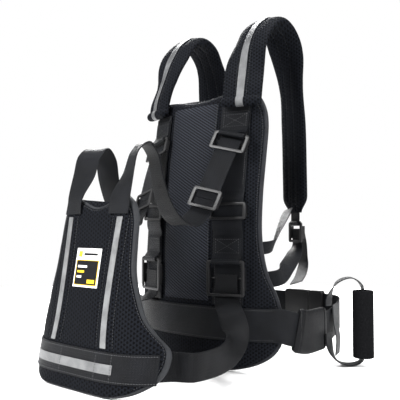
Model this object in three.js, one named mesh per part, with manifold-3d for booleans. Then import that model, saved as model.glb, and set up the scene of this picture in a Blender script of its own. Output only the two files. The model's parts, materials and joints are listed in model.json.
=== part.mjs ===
// Child safety harness vest: an adult back pad with two padded shoulder straps and a waist belt,
// and a child's vest panel tied to it by webbing. Millimetres, +Z up.
// The child sits between the panel (towards -Y) and the adult's back pad; the adult's back is towards +Y.
import * as THREE from 'three';
import { mergeVertices } from 'three/addons/utils/BufferGeometryUtils.js';
import Module from 'manifold-3d';

const wasm = await Module();
wasm.setup();

// ---- driving dimensions -----------------------------------------------------------------------
const GAP = 0.5;                     // clearance kept between neighbouring pieces
const WEBBING = 1.6;                 // thickness of all flat webbing
const BELT_WIDTH = 50;
const CHILD_STRAP_WIDTH = 38;
const NARROW_STRAP_WIDTH = 25;
const HANDLE_STRAP_WIDTH = 22;

const PAD_FOAM = 13;                 // adult pad: foam thickness
const SKIN = 2;                      // mesh and lining thickness
const PAD_POWER = 2.5;               // the pad's sides curve back by this power of x
const PAD_SWEEP = 38 / 138 ** PAD_POWER;
const PAD_LEAN = 28;                 // how far the pad's top leans back
const PAD_TOP = 434;
const PAD_NECK_DIP = 10;

const CHILD_FOAM = 8;
const CHILD_MIDDLE_Y = -198;         // the child panel's middle surface, 150 mm up
const CHILD_POWER = 4.5;             // flat across the chest, with wings that turn back sharply
const CHILD_SWEEP = 47 / 130 ** CHILD_POWER;
const CHILD_SLOPE = 0.17;            // the panel leans towards the pad
const CHILD_TOP = 264;
const CHILD_NECK_DIP = 16;

const COLUMN_X = 78;                 // centre of the two vertical straps on the pad
const TONGUE_HALF_WIDTH = 47;
const BELT_Z = 73;                   // mid height of the adult waist belt at the pad and the buckle
const BELT_SAG = 13;
const SHOULDER_X = 87;
const SHOULDER_WIDTH = 65;
const SHOULDER_THICKNESS = 13;
const BUCKLE_Y = 277;                // the buckle's mid plane, behind the wearer's waist

const PALETTE = {
  mesh: [0x15161a, 0.95],
  lining: [0x121317, 0.95],
  foam: [0x1b1b1e, 1.0],
  webbing: [0x1a1b1e, 0.8],
  binding: [0x3a3c42, 0.85],
  plastic: [0x1c1d20, 0.42],
  reflective: [0x9a9d9c, 0.45],
  grip: [0x19191b, 0.97],
  patch: [0xd8d8d4, 0.7],
};

// ---- small helpers ----------------------------------------------------------------------------
const vec = (x, y, z) => new THREE.Vector3(x, y, z);
const mirrored = (p, side) => vec(p.x * side, p.y, p.z);
const smooth = (a, b, t) => THREE.MathUtils.smoothstep(t, a, b);

const assembly = new THREE.Group();

function addPart(name, geometry, [color, roughness]) {
  const material = new THREE.MeshStandardMaterial({ color, roughness, metalness: 0 });
  const mesh = new THREE.Mesh(geometry, material);
  mesh.name = name;
  assembly.add(mesh);
  return mesh;
}

function signedVolume(points, faces) {
  let total = 0;
  for (const [a, b, c] of faces) {
    total += points[a].dot(points[b].clone().cross(points[c]));
  }
  return total;
}

// A closed body through a row of sections. Each section lists its front points, then its back
// points in reverse, so that point i faces point n - 1 - i across the thickness. Front and back
// are split along the same diagonals, which keeps stacked layers parallel.
function loft(sections, closed = false) {
  const n = sections[0].length;
  const points = sections.flat();
  const faces = [];
  const last = closed ? sections.length : sections.length - 1;
  for (let s = 0; s < last; s += 1) {
    const here = s * n;
    const next = ((s + 1) % sections.length) * n;
    for (let i = 0; i < n; i += 1) {
      const j = (i + 1) % n;
      if (i < n / 2) {
        faces.push([here + i, here + j, next + j], [here + i, next + j, next + i]);
      } else {
        faces.push([here + i, here + j, next + i], [here + j, next + j, next + i]);
      }
    }
  }
  if (!closed) {
    const end = (sections.length - 1) * n;
    for (let i = 0; i < n / 2 - 1; i += 1) {
      const [a, b, c, d] = [i, i + 1, n - 2 - i, n - 1 - i];
      faces.push([a, c, b], [a, d, c]);
      faces.push([end + a, end + b, end + c], [end + a, end + c, end + d]);
    }
  }
  if (signedVolume(points, faces) < 0) {
    faces.forEach((face) => face.reverse());
  }
  const geometry = new THREE.BufferGeometry();
  geometry.setFromPoints(points);
  geometry.setIndex(faces.flat());
  return geometry;
}

// A sheet with thickness between two surfaces given as functions of u and v, both 0 to 1.
function slab(front, back, across, along) {
  const sections = [];
  for (let j = 0; j <= along; j += 1) {
    const v = j / along;
    const steps = Array.from({ length: across + 1 }, (_, i) => i / across);
    sections.push([
      ...steps.map((u) => front(u, v)),
      ...steps.reverse().map((u) => back(u, v)),
    ]);
  }
  return loft(sections);
}

// Flat webbing along a hand-placed route. Each stop is a point and the direction across the strap.
// The two ends may be cut short by start and end, as fractions of the route.
function webbing(stops, width, shape = {}) {
  const { steps = 24, thickness = WEBBING, crown = 0, start = 0, end = 1, lift = 0 } = shape;
  const route = new THREE.CatmullRomCurve3(stops.map(([p]) => p), false, 'centripetal');
  const acrossStops = stops.map(([, a]) => a.clone().normalize());
  const turns = new THREE.CatmullRomCurve3(acrossStops, false, 'centripetal');
  const columns = crown > 0 ? 4 : 1;
  const sections = [];
  for (let s = 0; s <= steps; s += 1) {
    const t = start + (end - start) * s / steps;
    const middle = route.getPoint(t);
    const tangent = route.getTangent(t);
    const across = turns.getPoint(t);
    across.addScaledVector(tangent, -across.dot(tangent)).normalize();
    const out = tangent.clone().cross(across);
    const front = [];
    const back = [];
    for (let i = 0; i <= columns; i += 1) {
      const q = -1 + 2 * i / columns;
      const half = thickness / 2 + crown * (1 - q * q);
      const edge = middle.clone().addScaledVector(across, q * width / 2).addScaledVector(out, lift);
      front.push(edge.clone().addScaledVector(out, half));
      back.unshift(edge.clone().addScaledVector(out, -half));
    }
    sections.push([...front, ...back]);
  }
  return loft(sections);
}

function mirrorStops(stops, side) {
  return stops.map(([p, a]) => [mirrored(p, side), mirrored(a, side)]);
}

function toManifold(geometry) {
  const plain = geometry.clone();
  plain.deleteAttribute('normal');
  plain.deleteAttribute('uv');
  const merged = mergeVertices(plain, 1e-4);
  return new wasm.Manifold(new wasm.Mesh({
    numProp: 3,
    vertProperties: Float32Array.from(merged.attributes.position.array),
    triVerts: Uint32Array.from(merged.index.array),
  }));
}

function fromManifold(solid) {
  const mesh = solid.getMesh();
  const geometry = new THREE.BufferGeometry();
  geometry.setAttribute('position', new THREE.BufferAttribute(Float32Array.from(mesh.vertProperties), 3));
  geometry.setIndex(Array.from(mesh.triVerts));
  return geometry;
}

function join(...parts) {
  return fromManifold(parts.map(toManifold).reduce((a, b) => a.add(b)));
}

function cut(body, ...tools) {
  return fromManifold(tools.map(toManifold).reduce((a, b) => a.subtract(b), toManifold(body)));
}

function box(w, d, h, x = 0, y = 0, z = 0) {
  return new THREE.BoxGeometry(w, d, h).translate(x, y, z);
}

// A rounded bar along X.
function bar(length, radius, y, z, sides = 6) {
  const cylinder = new THREE.CylinderGeometry(radius, radius, length, sides, 1);
  return cylinder.rotateY(Math.PI / sides).rotateZ(Math.PI / 2).translate(0, y, z);
}

function roundedRectangle(width, height, radius) {
  const shape = new THREE.Shape();
  const [x, y] = [width / 2, height / 2];
  shape.moveTo(-x + radius, -y);
  shape.lineTo(x - radius, -y);
  shape.absarc(x - radius, -y + radius, radius, -Math.PI / 2, 0, false);
  shape.lineTo(x, y - radius);
  shape.absarc(x - radius, y - radius, radius, 0, Math.PI / 2, false);
  shape.lineTo(-x + radius, y);
  shape.absarc(-x + radius, y - radius, radius, Math.PI / 2, Math.PI, false);
  shape.lineTo(-x, -y + radius);
  shape.absarc(-x + radius, -y + radius, radius, Math.PI, Math.PI * 1.5, false);
  return shape;
}

// ---- the adult pad's surface ------------------------------------------------------------------
// Height on the pad against the half width there: a flat foot, a wide waist and a narrower back.
const PAD_OUTLINE = [
  [0, 62], [4, 92], [13, 120], [28, 140], [50, 150], [84, 150], [112, 145], [150, 132], [200, 124.5],
  [265, 123], [330, 124], [380, 123.5], [404, 119], [422, 110], [PAD_TOP, 96],
];
const CHILD_OUTLINE = [
  [0, 66], [3, 88], [10, 108], [24, 124], [44, 130], [62, 129], [80, 118], [100, 106], [130, 95], [160, 86],
  [200, 82], [235, 79], [252, 72], [CHILD_TOP, 58],
];

const surfaces = {
  pad: {
    outline: PAD_OUTLINE,
    top: PAD_TOP,
    dip: PAD_NECK_DIP,
    dipWidth: 62,
    sweep: PAD_SWEEP,
    power: PAD_POWER,
    facets: 8,
    y: (z) => PAD_LEAN * smooth(170, 640, z) * 1.65,
  },
  child: {
    outline: CHILD_OUTLINE,
    top: CHILD_TOP,
    dip: CHILD_NECK_DIP,
    dipWidth: 46,
    sweep: CHILD_SWEEP,
    power: CHILD_POWER,
    facets: 18,
    y: (z) => CHILD_MIDDLE_Y + CHILD_SLOPE * (z - 150),
  },
};

// A point of a panel at x and z, moved out of its middle surface towards the front by offset.
function onPanel(surface, x, z, offset = 0) {
  const along = alongPanel(surface, x);
  const out = vec(along.y, -along.x, 0);
  return vec(x, surface.sweep * Math.abs(x) ** surface.power + surface.y(z), z).addScaledVector(out, offset);
}

// The direction across a panel at x, level and along its surface.
function alongPanel(surface, x) {
  const slope = surface.power * surface.sweep * Math.abs(x) ** (surface.power - 1);
  return vec(1, Math.sign(x) * slope, 0).normalize();
}

const upPanel = (surface, z) => vec(0, surface.y(z + 5) - surface.y(z - 5), 10).normalize();

// The outline's point at parameter v (0 foot, 1 top) and u (-1 left, 1 right).
function outlineAt(surface, v) {
  const { outline } = surface;
  const place = v * (outline.length - 1);
  const i = Math.min(Math.floor(place), outline.length - 2);
  const [z0, w0] = outline[i];
  const [z1, w1] = outline[i + 1];
  const t = place - i;
  return [z0 + (z1 - z0) * t, w0 + (w1 - w0) * t];
}

function panelPoint(surface, u, v, offset, inset) {
  const [z, halfWidth] = outlineAt(surface, v);
  const x = u * (halfWidth - inset);
  const dip = surface.dip * Math.exp(-((x / surface.dipWidth) ** 2) * 1.6) * smooth(0.55, 1, v);
  const height = inset + (z - dip) * (surface.top - 2 * inset) / surface.top;
  return onPanel(surface, x, height, offset);
}

// One layer of a panel between two offsets, inset from the outline to leave room for the binding.
function panelLayer(surface, outer, inner, inset) {
  return slab(
    (u, v) => panelPoint(surface, 2 * u - 1, v, outer, inset),
    (u, v) => panelPoint(surface, 2 * u - 1, v, inner, inset),
    surface.facets,
    surface.outline.length - 1,
  );
}

// The sewn edge tape: a closed loop round the outline, flat on its outer side.
function panelBinding(surface, depth, thickness) {
  const rim = [];
  const rows = surface.outline.length - 1;
  for (let j = 0; j <= rows; j += 1) {
    rim.push([1, j / rows]);
  }
  const neckSteps = 12;
  for (let i = 1; i < neckSteps; i += 1) {
    rim.push([1 - 2 * i / neckSteps, 1]);
  }
  for (let j = rows; j >= 0; j -= 1) {
    rim.push([-1, j / rows]);
  }
  for (let i = 1; i < 6; i += 1) {
    rim.push([-1 + 2 * i / 6, 0]);
  }
  const ring = (offset, inset) => rim.map(([u, v]) => panelPoint(surface, u, v, offset, inset));
  const rings = [
    ring(depth / 2 - 1.5, 0), ring(depth / 2, thickness * 0.55), ring(depth / 2 - 0.5, thickness),
    ring(-depth / 2 + 0.5, thickness), ring(-depth / 2, thickness * 0.55), ring(-depth / 2 + 1.5, 0),
  ];
  return loft(rim.map((_, k) => rings.map((r) => r[k])), true);
}

// ---- adult back pad ---------------------------------------------------------------------------
const { pad, child } = surfaces;
const BINDING = 4;
const PAD_INSET = BINDING + GAP;
const padFace = PAD_FOAM / 2 + GAP + SKIN;         // front of the pad's mesh
const childFace = CHILD_FOAM / 2 + GAP + SKIN;

addPart('pad_foam_core', panelLayer(pad, PAD_FOAM / 2, -PAD_FOAM / 2, PAD_INSET), PALETTE.foam);
addPart('pad_face_mesh', panelLayer(pad, padFace, padFace - SKIN, PAD_INSET), PALETTE.mesh);
addPart('pad_back_lining', panelLayer(pad, -padFace + SKIN, -padFace, PAD_INSET), PALETTE.lining);
addPart('pad_edge_binding', panelBinding(pad, 2 * padFace, BINDING), PALETTE.binding);

const TONGUE_Z = [106, PAD_TOP - PAD_NECK_DIP - 8];
const tonguePoint = (offset, crown) => (u, v) => {
  const z = THREE.MathUtils.lerp(TONGUE_Z[0], TONGUE_Z[1], v);
  const x = (2 * u - 1) * TONGUE_HALF_WIDTH;
  const swell = (1 - (2 * u - 1) ** 4) * smooth(0, 0.04, v) * (1 - smooth(0.97, 1, v));
  return onPanel(pad, x, z, offset + crown * swell);
};
addPart(
  'pad_centre_tongue',
  slab(tonguePoint(padFace + GAP + 1.5, 4), tonguePoint(padFace + GAP, 0), 8, 12),
  PALETTE.mesh,
);

// ---- column webbing and its sliders -----------------------------------------------------------
const COLUMN_Z = [102, 408];
const COLUMN_LIFT = 3.6;             // the column stands off the pad where the middle slider rides
const MIDDLE_SLIDER_Z = 244;
const UPPER_SLIDER_Z = 350;
const LOWER_SLIDER_Z = 142;
const columnBack = padFace + GAP;

// A strap lying on the pad, centred on x, with its back at lift(z) in front of the pad's face.
function strapOnPad(x, width, zs, lift) {
  const across = alongPanel(pad, x);
  const row = (side) => (u, v) => {
    const z = zs[Math.round(v * (zs.length - 1))];
    const middle = onPanel(pad, x, z, columnBack + lift(z) + side * WEBBING);
    return middle.addScaledVector(across, (u - 0.5) * width);
  };
  return slab(row(1), row(0), 1, zs.length - 1);
}

const columnLift = (z) => COLUMN_LIFT * smooth(212, 224, z) * (1 - smooth(264, 276, z));
const COLUMN_STATIONS = [COLUMN_Z[0], 160, 212, 218, 224, 244, 264, 270, 276, 330, COLUMN_Z[1]];

// A webbing adjuster: two side rails, end bars in front of the webbing and a centre bar behind it.
// It is drawn about its own middle, upright in XZ, with its front towards -Y.
function adjusterFrame({ width, height, slot, barSize }) {
  const rail = 5;
  const depth = slot + 2 * barSize;
  const outline = roundedRectangle(width, height, 4);
  const window = roundedRectangle(width - 2 * rail, height - 2 * barSize - 3, 1.5);
  outline.holes.push(new THREE.Path(window.getPoints(2)));
  const flat = { depth: barSize, bevelEnabled: false, curveSegments: 2 };
  const front = new THREE.ExtrudeGeometry(outline, flat);
  front.rotateX(Math.PI / 2).translate(0, -depth / 2 + barSize, 0);
  const railHeight = height * 0.62;
  const rails = [-1, 1].map((side) => box(rail, depth, railHeight, side * (width - rail) / 2, 0, 0));
  const centre = bar(width - rail, barSize / 2, depth / 2 - barSize / 2, 0);
  return join(front, ...rails, centre);
}

// Put a drawn adjuster on a place: across is its width direction and up its length direction.
function place(geometry, at, across, up) {
  const x = across.clone().normalize();
  const z = up.clone().addScaledVector(x, -up.dot(x)).normalize();
  const y = z.clone().cross(x);
  const matrix = new THREE.Matrix4().makeBasis(x, y, z).setPosition(at);
  return geometry.clone().applyMatrix4(matrix);
}

const BAR_SIZE = 2.4;
const SLOT = WEBBING + 2 * GAP;
const sliderDepth = SLOT + 2 * BAR_SIZE;
const beltSlider = adjusterFrame({ width: 62, height: 30, slot: SLOT, barSize: BAR_SIZE });
const tallSlider = adjusterFrame({ width: 63, height: 54, slot: SLOT, barSize: BAR_SIZE });
const triGlide = adjusterFrame({ width: 50, height: 32, slot: SLOT, barSize: BAR_SIZE });
const middleSlider = adjusterFrame({ width: 62, height: 26, slot: SLOT, barSize: BAR_SIZE });

// A folded webbing eye round a bar, with room for the bar to turn in it.
const EYE_INNER = 2.7;
const EYE_OUTER = EYE_INNER + WEBBING;
function eye(middle, across, width) {
  const out = vec(across.y, -across.x, 0).normalize();
  const rise = across.clone().cross(out).negate().normalize();
  const turns = 10;
  const station = (k, radius, side) => middle.clone()
    .addScaledVector(across, side * width / 2)
    .addScaledVector(out, Math.cos(2 * Math.PI * k / turns) * radius)
    .addScaledVector(rise, Math.sin(2 * Math.PI * k / turns) * radius);
  return loft(Array.from({ length: turns }, (_, k) => [
    station(k, EYE_OUTER, -1), station(k, EYE_OUTER, 1),
    station(k, EYE_INNER, 1), station(k, EYE_INNER, -1),
  ]), true);
}

// The sewn loop that holds a slider's top bar: a flat tab on the column, a neck and a folded eye.
function sliderLoop(x, barMiddle, barAcross, tabTop) {
  const width = BELT_WIDTH - 4;
  const across = alongPanel(pad, x);
  const tabBack = columnBack + WEBBING - 0.2;
  const tabFoot = barMiddle.z + EYE_OUTER + 8;
  const tabSide = (offset) => (u, v) => onPanel(pad, x, THREE.MathUtils.lerp(tabFoot, tabTop, v), offset)
    .addScaledVector(across, (u - 0.5) * width);
  const tab = slab(tabSide(tabBack + WEBBING), tabSide(tabBack), 1, 1);
  const out = vec(across.y, -across.x, 0);
  const neckSide = (offset) => (u, v) => {
    const aside = (u - 0.5) * width;
    const low = barMiddle.clone().add(vec(0, 0, EYE_OUTER - 0.8)).addScaledVector(barAcross, aside);
    const high = onPanel(pad, x, tabFoot + 1, tabBack + WEBBING / 2).addScaledVector(across, aside);
    return low.lerp(high, v).addScaledVector(out, offset);
  };
  const neck = slab(neckSide(WEBBING / 2), neckSide(-WEBBING / 2), 1, 1);
  return join(tab, neck, eye(barMiddle, barAcross, width));
}

const endBarIn = (height) => height / 2 - (BAR_SIZE + 1.5) / 2;
const frontBarY = -(sliderDepth - BAR_SIZE) / 2;

// Where a hung slider's middle is, when its top bar's middle and its up direction are known.
function hungMiddle(barMiddle, across, up, height) {
  const inwards = up.clone().cross(across);
  return barMiddle.clone().addScaledVector(up, -endBarIn(height)).addScaledVector(inwards, -frontBarY);
}

const TRI_GLIDE_AT = vec(68, -36, 262);
const barOffset = columnBack + WEBBING + 7;
const lowerUp = upPanel(pad, LOWER_SLIDER_Z);
const linkWays = {};                 // where each upper slider sits, by side
const lowerWays = {};                // where each lower slider sits, by side

for (const [side, label] of [[-1, 'left'], [1, 'right']]) {
  const x = side * COLUMN_X;
  const across = alongPanel(pad, x);
  const middleAt = onPanel(pad, x, MIDDLE_SLIDER_Z, columnBack + COLUMN_LIFT + WEBBING / 2);
  const middlePlaced = place(middleSlider, middleAt, across, upPanel(pad, MIDDLE_SLIDER_Z));
  addPart(`middle_slider_${label}`, middlePlaced, PALETTE.plastic);

  // The upper slider is pulled forward, into line with the child's shoulder strap.
  const upperBar = onPanel(pad, x, UPPER_SLIDER_Z + 13, barOffset);
  const pull = upperBar.clone().sub(mirrored(TRI_GLIDE_AT, side)).normalize();
  const pullAcross = across.clone().addScaledVector(pull, -across.dot(pull)).normalize();
  const upperAt = hungMiddle(upperBar, pullAcross, pull, 30);
  linkWays[label] = { at: upperAt, up: pull, across: pullAcross };
  addPart(`upper_slider_${label}`, place(beltSlider, upperAt, pullAcross, pull), PALETTE.plastic);

  const lowerBar = onPanel(pad, x, LOWER_SLIDER_Z + 25, barOffset);
  const lowerAt = hungMiddle(lowerBar, across, lowerUp, 54);
  lowerWays[label] = { at: lowerAt, across };
  addPart(`lower_slider_${label}`, place(tallSlider, lowerAt, across, lowerUp), PALETTE.plastic);
  addPart(`column_webbing_${label}`, join(
    strapOnPad(x, BELT_WIDTH, COLUMN_STATIONS, columnLift),
    sliderLoop(x, upperBar, pullAcross, UPPER_SLIDER_Z + 48),
    sliderLoop(x, lowerBar, across, LOWER_SLIDER_Z + 62),
  ), PALETTE.webbing);
}

// ---- adult waist belt, buckle and handles -----------------------------------------------------
const upright = vec(0, 0, 1);
const beltOffset = padFace + GAP + 1.4;
// The belt sags at the wearer's sides, where the handles hang.
const beltStop = (x, y) => {
  const sag = BELT_SAG * smooth(20, 90, y) * (1 - smooth(140, 255, y));
  return [vec(x, y, BELT_Z - sag), upright];
};
const SIDE_RUN = [[165, 52], [167, 80], [164, 118], [158, 158]];
const padRun = [-147, -125, -85, -45, 0, 45, 85, 125, 147].map((x) => [
  onPanel(pad, x, BELT_Z, beltOffset + 2.5 * smooth(105, 147, Math.abs(x))), upright,
]);
const frontBelt = [
  ...SIDE_RUN.slice(0, 3).reverse().map(([x, y]) => beltStop(-x, y)),
  ...padRun,
  ...SIDE_RUN.slice(0, 3).map(([x, y]) => beltStop(x, y)),
];
const frontBeltBody = webbing(frontBelt, BELT_WIDTH, { steps: 64, start: 0.004, end: 0.996 });
addPart('belt_webbing', frontBeltBody, PALETTE.webbing);

const BUCKLE_X = [-8, 74];
const leftRun = [
  ...SIDE_RUN.slice(2).map(([x, y]) => beltStop(-x, y)),
  ...[[-145, 200], [-122, 240], [-90, 264], [-50, 275], [-20, BUCKLE_Y], [BUCKLE_X[0] + 5, BUCKLE_Y]]
    .map(([x, y]) => beltStop(x, y)),
];
const rightRun = [
  ...SIDE_RUN.slice(2).map(([x, y]) => beltStop(x, y)),
  ...[[147, 200], [132, 236], [112, 262], [92, 274], [82, BUCKLE_Y], [BUCKLE_X[1] - 5, BUCKLE_Y]]
    .map(([x, y]) => beltStop(x, y)),
];
addPart('belt_left', webbing(leftRun, BELT_WIDTH, { steps: 22, start: 0.003 }), PALETTE.webbing);
addPart('belt_right', webbing(rightRun, BELT_WIDTH, { steps: 20, start: 0.003 }), PALETTE.webbing);

const TAIL_WIDTH = 26;
const tailAcross = vec(-0.3, 0.95, 0);
addPart('belt_tail', webbing([
  [vec(155.5, 182, BELT_Z + 20), tailAcross],
  [vec(156.5, 183, BELT_Z - 8), tailAcross],
  [vec(160, 185, BELT_Z - 34), tailAcross],
  [vec(158, 186, 12), tailAcross],
], TAIL_WIDTH, { steps: 8 }), PALETTE.webbing);

// Stitched padding wrapped round the belt. The belt runs through it.
function wrap(stops, from, to, outer, inner) {
  const route = new THREE.CatmullRomCurve3(stops.map(([p]) => p), false, 'centripetal');
  const steps = 8;
  const sides = 8;
  const corner = (size, k) => {
    const angle = (k + 0.5) * 2 * Math.PI / sides;
    const power = 0.3;
    const spread = (c) => Math.sign(c) * Math.abs(c) ** power;
    return [spread(Math.cos(angle)) * size[0] / 2, spread(Math.sin(angle)) * size[1] / 2];
  };
  const at = (size, k, s, pinch) => {
    const t = from + (to - from) * s / steps;
    const tangent = route.getTangent(t);
    const out = tangent.clone().cross(upright).normalize();
    const rise = out.clone().cross(tangent);
    const [o, h] = corner(size, k);
    return route.getPoint(t).addScaledVector(out, o * pinch).addScaledVector(rise, h);
  };
  const along = Array.from({ length: steps + 1 }, (_, s) => s);
  const pinch = (s) => (s === 0 || s === steps ? 0.72 : 1);
  return loft(Array.from({ length: sides }, (_, k) => [
    ...along.map((s) => at(outer, k, s, pinch(s))),
    ...[...along].reverse().map((s) => at(inner, k, s, 1)),
  ]), true);
}

const SLEEVE = [11, 66];
const SLEEVE_HOLE = [WEBBING + 2 * GAP + 1.4, BELT_WIDTH + 2];
const GRIP_AT = [207, 183];
const GRIP_Z = [13, 119];
const GRIP_RADIUS = 16.5;
for (const [side, label] of [[-1, 'left'], [1, 'right']]) {
  const padEnd = onPanel(pad, 147, BELT_Z, beltOffset + 2.5);
  const sleeveRun = [[padEnd.x, padEnd.y], ...SIDE_RUN, [147, 200]].map(([x, y]) => beltStop(side * x, y));
  addPart(`handle_sleeve_${label}`, wrap(sleeveRun, 0.24, 0.73, SLEEVE, SLEEVE_HOLE), PALETTE.webbing);

  const atGrip = vec(-0.65, 0.76, 0);
  const atSleeve = vec(-0.15, 0.99, 0);
  const loop = [
    [vec(169.5, 141, BELT_Z + 22), atSleeve], [vec(171, 142, BELT_Z + 36), atSleeve],
    [vec(179, 155, 133), atGrip], [vec(194, 170, 139), atGrip], [vec(205, 181, 128), atGrip],
    [vec(GRIP_AT[0], GRIP_AT[1], 112), atGrip], [vec(GRIP_AT[0], GRIP_AT[1], 66), atGrip],
    [vec(GRIP_AT[0], GRIP_AT[1], 22), atGrip], [vec(204, 180, 8), atGrip], [vec(192, 169, 2.5), atGrip],
    [vec(179, 153, 8), atGrip], [vec(171, 143, 30), atSleeve], [vec(169.5, 141, BELT_Z - 20), atSleeve],
  ];
  addPart(
    `handle_webbing_${label}`,
    webbing(mirrorStops(loop, side), HANDLE_STRAP_WIDTH, { steps: 30 }),
    PALETTE.webbing,
  );
  const profile = [
    [12.2, GRIP_Z[0]], [GRIP_RADIUS - 1.5, GRIP_Z[0]], [GRIP_RADIUS, GRIP_Z[0] + 1.5],
    [GRIP_RADIUS, GRIP_Z[1] - 1.5], [GRIP_RADIUS - 1.5, GRIP_Z[1]], [12.2, GRIP_Z[1]], [12.2, GRIP_Z[0]],
  ].map(([r, z]) => new THREE.Vector2(r, z));
  const grip = new THREE.LatheGeometry(profile, 16).rotateX(Math.PI / 2);
  grip.translate(side * GRIP_AT[0], GRIP_AT[1], 0);
  addPart(`handle_grip_${label}`, closedLathe(grip), PALETTE.grip);
}

// A lathe whose profile closes on itself, with its seam merged and its faces turned outwards.
function closedLathe(geometry) {
  const plain = geometry.clone();
  plain.deleteAttribute('normal');
  plain.deleteAttribute('uv');
  const merged = mergeVertices(plain, 1e-3);
  const { position } = merged.attributes;
  const points = Array.from({ length: position.count }, (_, i) => vec().fromBufferAttribute(position, i));
  const index = Array.from(merged.index.array);
  const faces = [];
  for (let i = 0; i < index.length; i += 3) {
    faces.push(index.slice(i, i + 3));
  }
  if (signedVolume(points, faces) < 0) {
    faces.forEach((face) => face.reverse());
  }
  merged.setIndex(faces.flat());
  return merged;
}

// Side-release buckle: the belt's left end sews to the socket, its right end to the plug.
const BUCKLE = { height: 60, thickness: 12, socket: 52, cavityHeight: 53.6, cavityDepth: 7.4 };
function buckleBox(x0, x1, depth, height, z = BELT_Z) {
  return box(x1 - x0, depth, height, (x0 + x1) / 2, BUCKLE_Y, z);
}
function roundedBlock(x0, x1, depth, height) {
  const shape = roundedRectangle(x1 - x0, height, 5);
  const block = new THREE.ExtrudeGeometry(shape, {
    depth: depth - 2, bevelEnabled: true, bevelThickness: 1, bevelSize: 1, bevelOffset: -1,
    bevelSegments: 1, curveSegments: 3,
  });
  return block.rotateX(Math.PI / 2).translate((x0 + x1) / 2, BUCKLE_Y + (depth - 2) / 2, BELT_Z);
}
const socketEnd = BUCKLE_X[0] + BUCKLE.socket;
const webSlot = (x0, x1) => buckleBox(x0, x1, WEBBING + 2 * GAP, BELT_WIDTH + 2);
const windows = [-1, 1].map((s) => buckleBox(
  socketEnd - 32, socketEnd - 11, BUCKLE.cavityDepth, 8, BELT_Z + s * BUCKLE.height / 2,
));
addPart('buckle_female', cut(
  roundedBlock(BUCKLE_X[0], socketEnd, BUCKLE.thickness, BUCKLE.height),
  buckleBox(BUCKLE_X[0] + 10, socketEnd + 5, BUCKLE.cavityDepth, BUCKLE.cavityHeight),
  webSlot(BUCKLE_X[0] - 2, BUCKLE_X[0] + 6),
  ...windows,
), PALETTE.plastic);
const plugStart = socketEnd + GAP;
const plugBody = cut(
  roundedBlock(plugStart, BUCKLE_X[1], BUCKLE.thickness, BUCKLE.height),
  webSlot(BUCKLE_X[1] - 6, BUCKLE_X[1] + 2),
);
addPart('buckle_male', join(plugBody, buckleBox(socketEnd - 36, plugStart + 4, 5, 8)), PALETTE.plastic);
for (const [side, label] of [[-1, 'lower'], [1, 'upper']]) {
  const prong = new THREE.Shape([
    [-0.6, 16], [-0.6, 21.5], [-10, 23], [-12.5, 26], [-29, 25],
    [-35, 20.5], [-33, 18], [-26, 20], [-10, 18],
  ].map(([x, z]) => new THREE.Vector2(x, z * side)));
  const arm = new THREE.ExtrudeGeometry(prong, { depth: 5, bevelEnabled: false });
  arm.rotateX(Math.PI / 2).translate(plugStart, BUCKLE_Y + 2.5, BELT_Z);
  addPart(`buckle_prong_${label}`, arm, PALETTE.plastic);
}

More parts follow.
